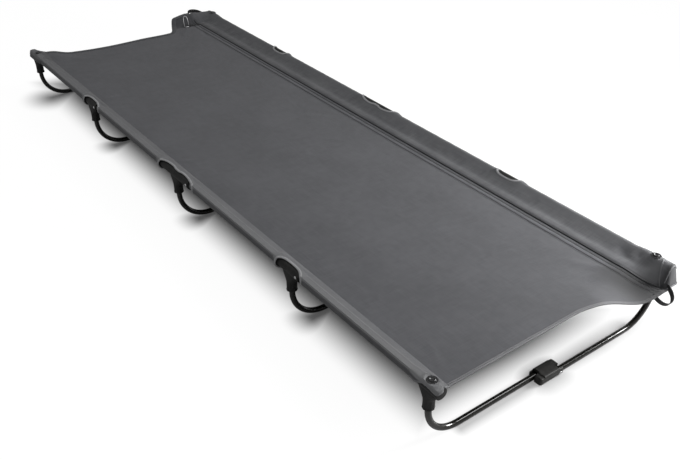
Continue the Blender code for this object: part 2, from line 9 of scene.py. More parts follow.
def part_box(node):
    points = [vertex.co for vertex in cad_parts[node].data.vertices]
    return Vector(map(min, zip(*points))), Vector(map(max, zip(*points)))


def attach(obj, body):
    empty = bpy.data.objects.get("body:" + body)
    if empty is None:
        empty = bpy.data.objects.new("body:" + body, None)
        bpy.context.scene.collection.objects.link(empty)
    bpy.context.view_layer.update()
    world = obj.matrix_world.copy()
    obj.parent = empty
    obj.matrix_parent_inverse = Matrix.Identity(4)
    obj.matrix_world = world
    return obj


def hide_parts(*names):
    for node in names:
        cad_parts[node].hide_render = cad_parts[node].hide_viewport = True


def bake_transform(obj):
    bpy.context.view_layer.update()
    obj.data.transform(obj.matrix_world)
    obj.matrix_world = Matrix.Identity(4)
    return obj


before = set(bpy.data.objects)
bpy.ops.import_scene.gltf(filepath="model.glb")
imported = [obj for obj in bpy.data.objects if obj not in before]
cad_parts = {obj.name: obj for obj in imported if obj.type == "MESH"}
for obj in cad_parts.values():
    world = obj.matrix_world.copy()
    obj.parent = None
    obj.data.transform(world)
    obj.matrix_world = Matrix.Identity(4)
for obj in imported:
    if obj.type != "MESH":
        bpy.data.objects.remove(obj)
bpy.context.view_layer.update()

# Low folding camp bed. Metres, +Z up. X runs across the bed, with the near side at -X, and Y runs
# along it, with the head end at +Y.


# Side poles and ferrules
# Each side pole is two sections of grey anodised aluminium tube, pushed into the sleeve from its
# ends. They meet over a plated ferrule inside the middle socket.

class Signal:
    """A value that runs between a finish's nodes. Sums on it add Math nodes."""

    def __init__(self, finish, socket):
        self.finish = finish
        self.socket = socket

    def maths(self, operation, first, second=0.0):
        return self.finish.node("Math", {"operation": operation}, {0: first, 1: second})

    def __add__(self, other):
        return self.maths("ADD", self, other)

    def __sub__(self, other):
        return self.maths("SUBTRACT", self, other)

    def __rsub__(self, other):
        return self.maths("SUBTRACT", other, self)

    def __mul__(self, other):
        return self.maths("MULTIPLY", self, other)

    __radd__ = __add__
    __rmul__ = __mul__

    def sine(self):
        return self.maths("SINE", self)

    def size(self):
        return self.maths("ABSOLUTE", self)

    def root(self):
        return self.maths("SQRT", self)

    def most(self, other):
        return self.maths("MAXIMUM", self, other)

    def least(self, other):
        return self.maths("MINIMUM", self, other)

    def ramp(self, low, high):
        """0 up to low and 1 from high on, smooth in between."""
        return self.finish.node("MapRange", {"interpolation_type": "SMOOTHSTEP"},
                                {0: self, 1: low, 2: high, 3: 0.0, 4: 1.0})


class Finish:
    """A material in the making, with its own Principled shader."""

    def __init__(self, name):
        self.material = bpy.data.materials.new(name)
        self.material.use_nodes = True
        self.tree = self.material.node_tree
        self.shader = self.tree.nodes["Principled BSDF"]

    def fill(self, socket, value):
        if isinstance(value, Signal):
            self.tree.links.new(value.socket, socket)
        elif socket.type == "RGBA":
            socket.default_value = (*value, 1.0)
        else:
            socket.default_value = value

    def node(self, kind, settings=(), inputs=(), output=0):
        """Any node: its settings first, then the values or links of its sockets."""
        made = self.tree.nodes.new("ShaderNode" + kind)
        for name, value in dict(settings).items():
            setattr(made, name, value)
        for name, value in dict(inputs).items():
            self.fill(made.inputs[name], value)
        return Signal(self, made.outputs[output])

    def scaled(self, vector, stretch):
        return self.node("VectorMath", {"operation": "MULTIPLY"}, {0: vector, 1: stretch})

    def place(self, stretch=(1, 1, 1)):
        """Where a point lies on its piece, with each axis scaled."""
        return self.scaled(self.node("TexCoord", output="Object"), stretch)

    def cloth(self, stretch=(1, 1, 1)):
        """Where a point lies across and along its cloth, with each axis scaled."""
        return self.scaled(self.node("UVMap", {"uv_map": "cloth"}), stretch)

    def ribs(self, axis, pitch):
        """Ribs of this pitch, counted across the cloth or along it."""
        return (self.part(self.cloth(), axis) * (2 * math.pi / pitch)).sine()

    def noise(self, vector, scale=1.0, detail=2.0):
        return self.node("TexNoise", {}, {"Vector": vector, "Scale": scale, "Detail": detail})

    def tint(self, share, first, second):
        """A colour between two others."""
        return self.node("Mix", {"data_type": "RGBA"}, {0: share, 6: first, 7: second}, 2)

    def part(self, vector, axis):
        return self.node("SeparateXYZ", {}, {0: vector}, axis)

    def bump(self, height, depth):
        self.shade({"Normal": self.node("Bump", {}, {"Height": height, "Distance": depth})})

    def shade(self, values):
        for name, value in values.items():
            self.fill(self.shader.inputs[name], value)
        return self


def grained(name, stretch, dark, light, depth, roughness, rougher=0.0, metallic=0.0):
    """A finish with one grain, which is felt, tints it and makes it rougher."""
    finish = Finish(name)
    grain = finish.noise(finish.place(stretch))
    finish.bump(grain, depth)
    if rougher:
        roughness = roughness + grain * rougher
    return finish.shade({"Base Color": finish.tint(grain, dark, light), "Metallic": metallic,
                         "Roughness": roughness})


# The poles have the fine lines of their drawing along them. The steel is bright zinc plating, a
# little uneven and dulled by handling.
pole_finish = grained("grey_anodised_tube", (1800, 12, 1800), (0.13, 0.135, 0.14),
                      (0.2, 0.205, 0.21), 0.00002, 0.25, 0.2, metallic=0.85)
steel = grained("plated_steel", (420, 420, 420), (0.56, 0.56, 0.57),
                (0.72, 0.72, 0.73), 0.00002, 0.18, 0.22, metallic=1.0)
for side in ("near", "far"):
    for part, finish in (("pole_head", pole_finish), ("pole_foot", pole_finish),
                         ("pole_ferrule", steel)):
        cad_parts[f"{side}_{part}"].material_slots[0].material = finish.material


# Sockets
# Moulded black nylon, one for each leg and side. A lipped barrel holds the pole, a flare under it
# narrows to a ribbed collar, and the leg's tube is pushed up into the collar.

SOCKET_WALL = 0.0025
RUNNING_GAP = 0.0003
BARREL_LIP = 0.0006
BARREL_LIP_LENGTH = 0.003
BARREL_EDGE = 0.0012
COLLAR_WALL = 0.0045
COLLAR_LENGTH = 0.020
COLLAR_LIP = 0.0007
COLLAR_LIP_HEIGHT = 0.003
COLLAR_RIB = 0.0005
COLLAR_RIBS = 10
FLARE_HALF_LENGTH = 0.027
FLARE_HALF_WIDTH = 0.0113
FLARE_TOP_BELOW_AXIS = 0.004
FLARE_SQUARENESS = 0.8
FLARE_POWER = 0.8
FLARE_STEPS = 14
ROUND_STEPS = 48
TIP_RADIUS = 1e-5

pole_low, pole_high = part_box("near_pole_head")
leg_low, leg_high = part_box("near_leg_3")
POLE_X = -(pole_low.x + pole_high.x) / 2
POLE_Z = (pole_low.z + pole_high.z) / 2
POLE_RADIUS = (pole_high.z - pole_low.z) / 2
TUBE_RADIUS = (leg_high.y - leg_low.y) / 2
HALF_TURN = Matrix.Rotation(math.pi, 4, "Z")


def middle_of(node):
    """The middle of a node's box, as x, y and z."""
    return [(low + high) / 2 for low, high in zip(*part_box(node))]


def ramp(value, start, end):
    """0 at the start and before it, 1 from the end on, and smooth in between."""
    share = np.clip((value - start) / (end - start), 0.0, 1.0)
    return share * share * (3 - 2 * share)


def rounded_square(angle, power):
    """The two shares at an angle on the edge of a circle, or of a squarer form above power 2."""
    return [np.copysign(np.abs(part) ** (2 / power), part)
            for part in (np.cos(angle), np.sin(angle))]


def circle(radius, steps):
    return [(radius * math.cos(2 * math.pi * step / steps),
             radius * math.sin(2 * math.pi * step / steps)) for step in range(steps)]


def skin(name, rows, around=False, along=False, capped=False):
    """A mesh over rows of points, with the lengths across and along the rows as its cloth map.

    around joins each row's ends, along joins the first and last rows, and capped closes the
    first and last rows.
    """
    rows = np.asarray(rows, float)
    count, width = rows.shape[:2]
    across = np.linalg.norm(np.roll(rows, -1, axis=1) - rows, axis=2).mean(axis=0)
    down = np.linalg.norm(np.roll(rows, -1, axis=0) - rows, axis=2).mean(axis=1)
    lengths_u = np.concatenate(([0.0], np.cumsum(across)))
    lengths_v = np.concatenate(([0.0], np.cumsum(down)))
    mesh = bpy.data.meshes.new(name)
    form = bmesh.new()
    cloth = form.loops.layers.uv.new("cloth")
    verts = [[form.verts.new(point) for point in row] for row in rows]
    for i in range(count if along else count - 1):
        for j in range(width if around else width - 1):
            corners = ((i, j), (i, j + 1), (i + 1, j + 1), (i + 1, j))
            face = form.faces.new([verts[a % count][b % width] for a, b in corners])
            for loop, (a, b) in zip(face.loops, corners):
                loop[cloth].uv = (lengths_u[b], lengths_v[a])
    if capped:
        form.faces.new(verts[0][::-1])
        form.faces.new(verts[-1])
    bmesh.ops.remove_doubles(form, verts=form.verts, dist=1e-6)
    if around:
        bmesh.ops.recalc_face_normals(form, faces=form.faces)
    form.to_mesh(mesh)
    form.free()
    return mesh


def turned(name, profile, steps=ROUND_STEPS):
    """A closed shape turned about Z from its outer line, whose ends lie on the axis."""
    rows = [[(x, y, height) for x, y in circle(max(radius, TIP_RADIUS), steps)]
            for radius, height in profile]
    return skin(name, rows, around=True, capped=True)


def finished(name, mesh, finish, sharp=35):
    """An object of this mesh, smooth but for its sharp edges, in its finish."""
    mesh.materials.clear()
    mesh.materials.append(finish.material)
    mesh.shade_smooth()
    mesh.set_sharp_from_angle(angle=math.radians(sharp))
    obj = bpy.data.objects.new(name, mesh)
    bpy.context.scene.collection.objects.link(obj)
    return obj


def loose(mesh):
    """A working object, for a mesh that is still being made."""
    obj = bpy.data.objects.new("loose", mesh)
    bpy.context.scene.collection.objects.link(obj)
    return obj


def applied(obj, name):
    """The object's mesh with its modifiers in. The object itself is removed."""
    bpy.context.view_layer.update()
    graph = bpy.context.evaluated_depsgraph_get()
    mesh = bpy.data.meshes.new_from_object(obj.evaluated_get(graph))
    mesh.name = name
    bpy.data.objects.remove(obj, do_unlink=True)
    return mesh


def combined(mesh, name, added=(), cut=()):
    """A mesh joined with some closed meshes and cut by others."""
    body = loose(mesh)
    tools = []
    for operation, others in (("UNION", added), ("DIFFERENCE", cut)):
        for other in others:
            boolean = body.modifiers.new(operation, "BOOLEAN")
            boolean.operation = operation
            boolean.object = loose(other)
            tools.append(boolean.object)
    result = applied(body, name)
    for tool in tools:
        bpy.data.objects.remove(tool, do_unlink=True)
    return result


def moulded_nylon(name, black, grey):
    """Nylon with a fine spark-eroded grain, greyed a little where hands rub it."""
    finish = Finish(name)
    grain = finish.noise(finish.place(), 1500.0, 3.0)
    rubbed = finish.noise(finish.place(), 60.0, 4.0).ramp(0.45, 0.75)
    finish.bump(grain, 0.00008)
    return finish.shade({"Base Color": finish.tint(rubbed, black, grey),
                         "Roughness": 0.42 + grain * 0.16, "Specular IOR Level": 0.3})


def barrel_mesh(length, radius):
    """The barrel along +Z from the origin, with a lip round each end."""
    lip = radius + BARREL_LIP
    half = [(0.0, 0.0), (radius - BARREL_EDGE, 0.0), (lip, BARREL_EDGE / 2),
            (lip, BARREL_LIP_LENGTH), (radius, BARREL_LIP_LENGTH + BARREL_LIP)]
    return turned("barrel", half + [(r, length - z) for r, z in reversed(half)])


def funnel_mesh(centre_y, bottom):
    """The ribbed collar and the flare above it, as one closed loft."""
    collar = TUBE_RADIUS + COLLAR_WALL
    collar_top = bottom + COLLAR_LENGTH
    flare_top = POLE_Z - FLARE_TOP_BELOW_AXIS
    lip_top = bottom + COLLAR_LIP_HEIGHT
    heights = [bottom, bottom + COLLAR_LIP, lip_top, lip_top + COLLAR_LIP]
    heights += list(np.linspace(collar_top, flare_top, FLARE_STEPS))
    angle = math.pi * np.arange(2 * ROUND_STEPS) / ROUND_STEPS
    ribs = COLLAR_RIB * np.maximum(0.0, np.cos(COLLAR_RIBS * angle)) ** 2
    rings = []
    for height in heights:
        opened = ramp(height, collar_top, flare_top) ** FLARE_POWER
        lip = COLLAR_LIP if bottom < height <= lip_top else 0.0
        half_x = collar + lip + (FLARE_HALF_WIDTH - collar) * opened
        half_y = collar + lip + (FLARE_HALF_LENGTH - collar) * opened
        rib = ribs * (1 - opened)
        out, along = rounded_square(angle, 2 + FLARE_SQUARENESS * opened)
        rings.append(np.column_stack((out * (half_x + rib) - POLE_X,
                                      along * (half_y + rib) + centre_y,
                                      np.full_like(angle, height))))
    return skin("funnel", rings, around=True, capped=True)


def rod_mesh(radius, length):
    return turned("rod", [(0.0, 0.0), (radius, 0.0), (radius, length), (0.0, length)])


def socket_mesh(number, closed):
    """A near socket. closed is 1 where the barrel is shut at its head end, -1 where it is shut
    at its foot end and 0 where it is open at both."""
    low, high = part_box(f"near_socket_{number}")
    centre_y = middle_of(f"near_leg_{number}")[1]
    length = high.y - low.y
    along_pole = (Matrix.Translation((-POLE_X, low.y, POLE_Z))
                  @ Matrix.Rotation(-math.pi / 2, 4, "X"))
    barrel = barrel_mesh(length, (high.x - low.x) / 2)
    barrel.transform(along_pole)
    bore = rod_mesh(POLE_RADIUS + RUNNING_GAP, 3 * length)
    bore.transform(along_pole @ Matrix.Translation((0, 0, -length)))
    bore.transform(Matrix.Translation((0, -closed * (length + SOCKET_WALL), 0)))
    leg_bore = rod_mesh(TUBE_RADIUS + RUNNING_GAP, leg_high.z - low.z + COLLAR_LIP)
    leg_bore.transform(Matrix.Translation((-POLE_X, centre_y, low.z - COLLAR_LIP)))
    return combined(barrel, "socket", added=[funnel_mesh(centre_y, low.z)], cut=[bore, leg_bore])


nylon = moulded_nylon("black_nylon", (0.0085, 0.0085, 0.0085), (0.018, 0.0175, 0.0165))
for number, closed in ((1, 1), (2, 0), (3, 0), (4, 0), (5, -1)):
    mesh = socket_mesh(number, closed)
    for side, mate in (("near", number), ("far", 6 - number)):
        socket = finished(f"{side}_moulded_socket_{mate}", mesh, nylon)
        if side == "far":
            socket.matrix_world = HALF_TURN
        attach(socket, f"{side}_frame")
        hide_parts(f"{side}_socket_{mate}")


# Rivets
# Plated steel with a domed head, through the wall of each middle socket into the pole, so that
# the socket can't slide along it.

RIVET_HEAD_RADIUS = 0.0034
RIVET_HEAD_HEIGHT = 0.0015
RIVET_RADIUS = 0.0016
RIVET_LENGTH = 0.0050
DOME_STEPS = 6
SMALL_ROUND_STEPS = 24


def dome(radius, height):
    """The outer line of a domed head, from its top on the axis down to its rim at 0."""
    angles = [math.pi / 2 * step / DOME_STEPS for step in range(DOME_STEPS + 1)]
    return [(radius * math.sin(angle), height * math.cos(angle)) for angle in angles]


rivet_profile = dome(RIVET_HEAD_RADIUS, RIVET_HEAD_HEIGHT)
rivet_profile += [(RIVET_RADIUS, 0.0), (RIVET_RADIUS, -RIVET_LENGTH), (0.0, -RIVET_LENGTH)]
rivet_mesh = turned("rivet", rivet_profile, SMALL_ROUND_STEPS)
for side, turn in (("near", -math.pi / 2), ("far", math.pi / 2)):
    for number in (2, 3, 4):
        low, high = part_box(f"{side}_rivet_{number}")
        outer = low.x if side == "near" else high.x
        seat = outer - math.copysign(RIVET_HEAD_HEIGHT, outer)
        rivet = finished(f"{side}_domed_rivet_{number}", rivet_mesh, steel)
        rivet.matrix_world = (Matrix.Translation((seat, (low.y + high.y) / 2, POLE_Z))
                              @ Matrix.Rotation(turn, 4, "Y"))
        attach(rivet, f"{side}_frame")
        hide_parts(f"{side}_rivet_{number}")


# Leg tubes
# Two to a leg, of thin steel tube in gloss black powder coat. Each lies along the floor, bends up
# at the side and is pushed into its socket. Its other end lies in the knuckle.

BEND_RADIUS = 0.080
BEND_STEPS = 26
TUBE_WALL = 0.0012
TUBE_STEPS = 28


def unit(vectors):
    """The same directions with a length of 1."""
    return vectors / np.linalg.norm(vectors, axis=-1, keepdims=True)


def swept(path, outline, across):
    """Rows of an outline's points carried along a path, with the outline's first axis held to
    the across vector, or to one such vector for each point of the path."""
    path, outline = np.asarray(path, float), np.asarray(outline)
    ahead = unit(np.gradient(path, axis=0))
    side = np.broadcast_to(np.asarray(across, float), path.shape)
    side = unit(side - ahead * (side * ahead).sum(axis=1, keepdims=True))
    rise = np.cross(side, ahead)
    return path[:, None] + side[:, None] * outline[:, :1] + rise[:, None] * outline[:, 1:]


def thick(mesh, thickness):
    """A thin shell with its thickness, laid under its face."""
    shell = loose(mesh)
    wall = shell.modifiers.new("thickness", "SOLIDIFY")
    wall.thickness = thickness
    wall.offset = -1
    return applied(shell, mesh.name)


def powder_coat():
    """Gloss black powder coat over steel, with its faint orange peel and a few dull scuffs."""
    finish = Finish("gloss_black_coat")
    peel = finish.noise(finish.place(), 340.0, 1.0)
    scuffs = finish.noise(finish.place((14, 90, 90)), 1.0, 5.0).ramp(0.56, 0.72)
    finish.bump(peel, 0.00005)
    return finish.shade({"Base Color": finish.tint(scuffs, (0.0065, 0.006, 0.0045),
                                                   (0.014, 0.013, 0.0105)),
                         "Roughness": 0.2 + scuffs * 0.2, "Specular IOR Level": 0.3,
                         "Coat Weight": 0.6, "Coat Roughness": 0.05})


def leg_route():
    """The line of a near tube, from its end in the knuckle to its end in the socket."""
    route = [(leg_high.x, 0.0, TUBE_RADIUS), (0.0, 0.0, TUBE_RADIUS)]
    for angle in np.linspace(0, math.pi / 2, BEND_STEPS + 1):
        route.append((BEND_RADIUS * (1 - math.sin(angle)) - POLE_X, 0.0,
                      TUBE_RADIUS + BEND_RADIUS * (1 - math.cos(angle))))
    return route + [(-POLE_X, 0.0, leg_high.z)]


coat = powder_coat()
tube_rows = swept(leg_route(), circle(TUBE_RADIUS, TUBE_STEPS), (0, 1, 0))
tube_mesh = thick(skin("leg_tube", tube_rows, around=True), TUBE_WALL)
for side in ("near", "far"):
    for number in range(1, 6):
        leg = finished(f"{side}_bent_leg_{number}", tube_mesh, coat)
        leg.matrix_world = Matrix.Translation((0, middle_of(f"{side}_leg_{number}")[1], 0))
        if side == "far":
            leg.matrix_world = leg.matrix_world @ HALF_TURN
        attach(leg, f"{side}_frame")
        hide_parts(f"{side}_leg_{number}")


# Knuckles
# A moulded nylon block in the middle of each leg, open below, that holds the ends of both tubes
# side by side. Its roof is open over each tube outside its pin, so that the tube can swing up.

KNUCKLE_SECTION_POWER = 7
KNUCKLE_END_GAP = 0.0012
KNUCKLE_SHOULDER = 0.0022
KNUCKLE_SHOULDER_X = 0.0235
KNUCKLE_SHOULDER_RUN = 0.0022
KNUCKLE_END_ROUND = 0.0035
KNUCKLE_TOP_ROUND = 0.8
KNUCKLE_SECTION_STEPS = 64
KNUCKLE_WEB = 0.0024
KNUCKLE_END_WALL = 0.0035
LANE_HEIGHT = 0.0133
ROOF_OPENING_X = 0.0198

knuckle_low, knuckle_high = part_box("knuckle_3")


def knuckle_mesh():
    half_length, half_width = knuckle_high.x - KNUCKLE_END_GAP, knuckle_high.y
    bottom, top = knuckle_low.z, knuckle_high.z
    stations = np.concatenate((
        half_length - KNUCKLE_END_ROUND * (1 - np.sin(np.linspace(math.pi / 2, 0, 8))),
        np.linspace(half_length - 1.5 * KNUCKLE_END_ROUND, KNUCKLE_SHOULDER_X, 5),
        np.linspace(KNUCKLE_SHOULDER_X - 0.0004, KNUCKLE_SHOULDER_X - KNUCKLE_SHOULDER_RUN, 6),
        np.linspace(KNUCKLE_SHOULDER_X - 0.004, 0.0, 6)))
    stations = np.concatenate((stations, -stations[-2::-1]))
    angle = 2 * math.pi * (np.arange(KNUCKLE_SECTION_STEPS) + 0.5) / KNUCKLE_SECTION_STEPS
    aside, up = rounded_square(angle, KNUCKLE_SECTION_POWER)
    rows = []
    for x in stations:
        to_end = np.clip((half_length - abs(x)) / KNUCKLE_END_ROUND, 0.0, 1.0)
        pull = KNUCKLE_END_ROUND * (1 - math.sqrt(max(0.0, 1 - (1 - to_end) ** 2)))
        raised = ramp(abs(x), KNUCKLE_SHOULDER_X, KNUCKLE_SHOULDER_X - KNUCKLE_SHOULDER_RUN)
        high = top - KNUCKLE_SHOULDER * (1 - raised) - pull * KNUCKLE_TOP_ROUND
        middle, half_z = (bottom + high) / 2, (high - bottom) / 2
        rows.append(np.column_stack((np.full_like(angle, x), (half_width - pull) * aside,
                                     middle + half_z * up)))
    block = skin("block", rows, around=True, capped=True)
    outer, reach = -2 * half_length, half_length - KNUCKLE_END_WALL
    lane_section = ((outer, -top), (reach, -top), (reach, LANE_HEIGHT),
                    (-ROOF_OPENING_X, LANE_HEIGHT), (-ROOF_OPENING_X, 2 * top), (outer, 2 * top))
    lane_from = KNUCKLE_WEB / 2
    lane_to = lane_from + 2 * (TUBE_RADIUS + RUNNING_GAP)
    lanes = [skin("lane", [[(side * x, side * y, z) for x, z in lane_section]
                           for y in (lane_from, lane_to)], around=True, capped=True)
             for side in (1, -1)]
    return combined(block, "knuckle", cut=lanes)


# Painted sheen: the knuckles are a lighter copy of the black nylon.
worn_nylon = moulded_nylon("worn_black_nylon", (0.026, 0.0255, 0.024), (0.042, 0.041, 0.0385))
knuckle_shape = knuckle_mesh()
for number in range(1, 6):
    knuckle = finished(f"moulded_knuckle_{number}", knuckle_shape, worn_nylon, sharp=30)
    knuckle.matrix_world = Matrix.Translation((0, middle_of(f"knuckle_{number}")[1], 0))
    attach(knuckle, "knuckle_row")
    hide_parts(f"knuckle_{number}")


# Knuckle pins
# A headed steel pin through one wall of the knuckle and the end of each tube. It is the hinge
# that the tube turns about when the bed folds.

PIN_RADIUS = 0.0022
PIN_HEAD_RADIUS = 0.0036
PIN_HEAD_HEIGHT = 0.0012

for side, turn in (("near", -math.pi / 2), ("far", math.pi / 2)):
    for number in range(1, 6):
        low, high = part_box(f"{side}_pin_{number}")
        x, _, z = middle_of(f"{side}_pin_{number}")
        length = high.y - low.y - PIN_HEAD_HEIGHT
        profile = dome(PIN_HEAD_RADIUS, PIN_HEAD_HEIGHT)
        profile += [(PIN_RADIUS, 0.0), (PIN_RADIUS, -length), (0.0, -length)]
        pin = finished(f"{side}_headed_pin_{number}", turned("pin", profile, SMALL_ROUND_STEPS), steel)
        head_y = high.y - PIN_HEAD_HEIGHT if side == "near" else low.y + PIN_HEAD_HEIGHT
        pin.matrix_world = Matrix.Translation((x, head_y, z)) @ Matrix.Rotation(turn, 4, "X")
        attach(pin, "knuckle_row")
        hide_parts(f"{side}_pin_{number}")


# Bed panel
# One sheet of charcoal plain-weave polyester, stretched from pole to pole. Its near edge runs up
# to the pole, and its far edge is sewn into a sunk seam with two rows of stitching beside it.

CLOTH = 0.0012
YARN = 0.0009
PANEL_TOP = 0.1441
NEAR_CREASE = 0.026
FAR_CREASE = 0.0725
NEAR_EDGE = -POLE_X + NEAR_CREASE
PANEL_HEAD_MIDDLE = 0.882
PANEL_FOOT_MIDDLE = 0.944
CORNER_Y = 0.885
SEAM_TURN = 0.029
SEAM_TURN_RISE = 0.0009
SEAM_TURN_RUN = 0.003
SEAM_ROWS = (0.0115, 0.0240)
SEAM_ROW_HALF_WIDTH = 0.0016
SEAM_GROOVE = 0.0026
SEAM_GROOVE_WIDTH = 0.0032
SEAM_TURNED_OUT = 0.0555
SEAM_TURNED_RUN = 0.094
SEAM_TURNED_POWER = 1.4
PANEL_ROWS = 250
# How far in from the near edge and from the far seam the cloth is held flat.
HELD_AT_EDGE = 0.03
HELD_AT_SEAM = 0.02
# The head edge curves out to the near corner by this much and with this power.
HEAD_NEAR_REACH = 0.053
HEAD_NEAR_POWER = 2.1
# Each bend of the head and of the foot edge: from which x to which x, and how far it goes out.
HEAD_BENDS = ((0.0, 0.110, -0.010), (0.118, 0.174, 0.080), (0.170, 0.220, 0.012))
FOOT_BENDS = ((0.040, 0.230, 0.039),)
# Each swell at a corner: from which x to which x, from which y to which y, and its height.
CORNER_SWELLS = (((-0.215, -0.280), (0.865, 0.920), 0.0105),
                 ((0.10, 0.24), (-0.885, -0.970), -0.031),
                 ((0.13, 0.18), (0.915, 0.950), 0.018))
# The hollow behind the lip of the far head corner: from which x to which x, its y, its half width
# and its depth.
LIP_HOLLOW = ((0.14, 0.19), 0.902, 0.012, 0.004)
# Painted shade: a dark colour tinted into the far foot corner, the hollow of the far head corner and
# the end of the far foot pocket.
PAINTED_SHADE_COLOUR = (0.009, 0.0093, 0.0105)
# Painted light, tinted onto the far sleeve's slope near the foot.
PAINTED_LIGHT_COLOUR = (0.125, 0.126, 0.131)
# Painted highlight over the pole: how strong it is at the bed's middle, and how much fainter it gets
# per metre towards the head.
HIGHLIGHT_AT_MIDDLE = 0.66
HIGHLIGHT_FADE_TO_HEAD = 0.25
FOOT_CORNER_SHADE = ((0.12, 0.235), (-0.845, -0.915))
HEAD_HOLLOW_SHADE = ((0.135, 0.160), (0.888, 0.905))


def woven(name, dark, light, highlight_colour, worn=(0.1475, 0.1575), worn_out=(0.0, 0.1), painted_patches=()):
    """Plain-weave polyester, with crossing yarns, thicker yarns both ways and faint clouds.

    Over the pole it turns to a lighter colour, a painted highlight that is fainter towards the head:
    from the first of two heights to the second, and from the first of two distances from the bed's
    middle to the second. Each patch tints a far corner with its colour, painted shade where that is
    dark and painted light where it is light: from where to where across and along, how much, and its
    colour.
    """
    finish = Finish(name)
    crossings = finish.ribs(0, 2 * YARN) * finish.ribs(1, 2 * YARN)
    yarns = finish.noise(finish.cloth((620, 14, 1))) + finish.noise(finish.cloth((14, 620, 1)))
    clouds = finish.noise(finish.cloth(), 7.0, 4.0)
    mottle = finish.noise(finish.cloth(), 48.0, 5.0)
    finish.bump(crossings * 0.5 + yarns * 0.8, 0.00007)
    shade = (yarns * 0.5 * 0.45 + clouds * 0.33 + mottle * 0.22).ramp(0.36, 0.64)
    place = finish.place()
    x, y = finish.part(place, 0), finish.part(place, 1)
    # Painted highlight: over the pole the cloth is tinted lighter, fainter towards the head.
    painted_highlight = finish.part(place, 2).ramp(*worn) * x.size().ramp(*worn_out)
    painted_highlight = painted_highlight * (HIGHLIGHT_AT_MIDDLE - y * HIGHLIGHT_FADE_TO_HEAD)
    colour = finish.tint(painted_highlight, finish.tint(shade, dark, light), highlight_colour)
    # Painted shade and painted light on the far corners, one patch at a time.
    for across, along, share, painted_colour in painted_patches:
        way = y if along[0] > 0 else y * -1.0
        painted_share = x.ramp(*across) * way.ramp(abs(along[0]), abs(along[1])) * share
        colour = finish.tint(painted_share, colour, painted_colour)
    return finish.shade({"Base Color": colour,
                         "Roughness": 0.72 + clouds * 0.14,
                         "Specular IOR Level": 0.35,
                         "Sheen Weight": 0.12, "Sheen Roughness": 0.5})


def far_crease_x(y):
    """Where the far seam lies. At the foot it turns out towards the pocket's end."""
    turned_out = np.clip((-CORNER_Y - y) / SEAM_TURNED_RUN, 0.0, 1.0) ** SEAM_TURNED_POWER
    return POLE_X - FAR_CREASE + SEAM_TURNED_OUT * turned_out


def head_edge(x):
    """How far the panel reaches at the head: a wide curve, then a step out at the far corner."""
    near = HEAD_NEAR_REACH * np.clip(x / NEAR_EDGE, 0.0, 1.0) ** HEAD_NEAR_POWER
    return PANEL_HEAD_MIDDLE + near + sum(out * ramp(x, *run) for *run, out in HEAD_BENDS)


def foot_edge(x):
    return -PANEL_FOOT_MIDDLE - sum(out * ramp(x, *run) for *run, out in FOOT_BENDS)


def slackness(x, y):
    """The faint hollows and swells of cloth that is stretched by hand."""
    broad = noise.noise(Vector((x * 5.0, y * 3.2, 0.4))) * 0.0011
    fine = noise.noise(Vector((x * 17.0, y * 11.0, 2.7))) * 0.00022
    return broad + fine


def fold(x, y, start, end, width):
    """1 along the line between two points, fading to 0 across its width and at its ends."""
    run = np.subtract(end, start)
    length = np.hypot(*run)
    along = ((x - start[0]) * run[0] + (y - start[1]) * run[1]) / length
    across = ((x - start[0]) * run[1] - (y - start[1]) * run[0]) / length
    share = along / length
    return np.exp(-(across / width) ** 2) * ramp(share, 0, 1 / 3) * ramp(share, 1, 2 / 3)


# Each fold in the panel: from where, to where, its half width and its height.
PANEL_FOLDS = (
    ((-0.276, -0.925), (-0.225, -0.80), 0.008, 0.0006),
    ((-0.262, -0.930), (-0.18, -0.86), 0.009, 0.0004),
    ((-0.278, 0.915), (-0.20, 0.83), 0.007, 0.0006),
    ((0.207, 0.015), (0.100, 0.103), 0.006, 0.0005),
    ((0.200, 0.045), (0.110, 0.130), 0.005, -0.0004),
    ((0.130, -0.105), (0.060, -0.035), 0.005, 0.0005),
    ((0.020, -0.120), (-0.040, -0.085), 0.005, 0.0005),
    ((0.228, -0.905), (0.16, -0.80), 0.009, 0.0012),
    ((0.225, -0.930), (0.12, -0.885), 0.009, -0.0016),
    ((0.205, 0.905), (0.13, 0.80), 0.008, 0.0013),
    ((0.236, 0.885), (0.20, 0.76), 0.006, -0.0012),
    ((-0.283, 0.53), (-0.22, 0.50), 0.006, 0.0007),
    ((-0.283, -0.46), (-0.22, -0.49), 0.006, 0.0007),
    ((-0.283, 0.06), (-0.23, 0.02), 0.007, 0.0007),
)


def panel_height(x, y):
    """How high the panel's upper face lies."""
    x, y = np.asarray(x, float), np.asarray(y, float)
    slack = np.vectorize(slackness)(x, y)
    crease = far_crease_x(y)
    loose_share = (ramp(x, NEAR_EDGE, NEAR_EDGE + HELD_AT_EDGE)
                   * ramp(x, crease, crease - HELD_AT_SEAM))
    height = PANEL_TOP + slack * loose_share
    for start, end, width, rise in PANEL_FOLDS:
        height = height + rise * fold(x, y, start, end, width)
    for across, along, rise in CORNER_SWELLS:
        height = height + rise * ramp(x, *across) * ramp(y, *along)
    across, middle, half, depth = LIP_HOLLOW
    height = height - depth * ramp(x, *across) * np.exp(-((y - middle) / half) ** 2)
    seam = crease - x
    height = height + SEAM_TURN_RISE * ramp(seam, SEAM_TURN, SEAM_TURN - SEAM_TURN_RUN)
    for row in SEAM_ROWS:
        sunk = np.exp(-((seam - row) / SEAM_ROW_HALF_WIDTH) ** 2)
        height = height - SEAM_TURN_RISE * sunk
    return height - SEAM_GROOVE * ramp(seam, SEAM_GROOVE_WIDTH, 0.0)


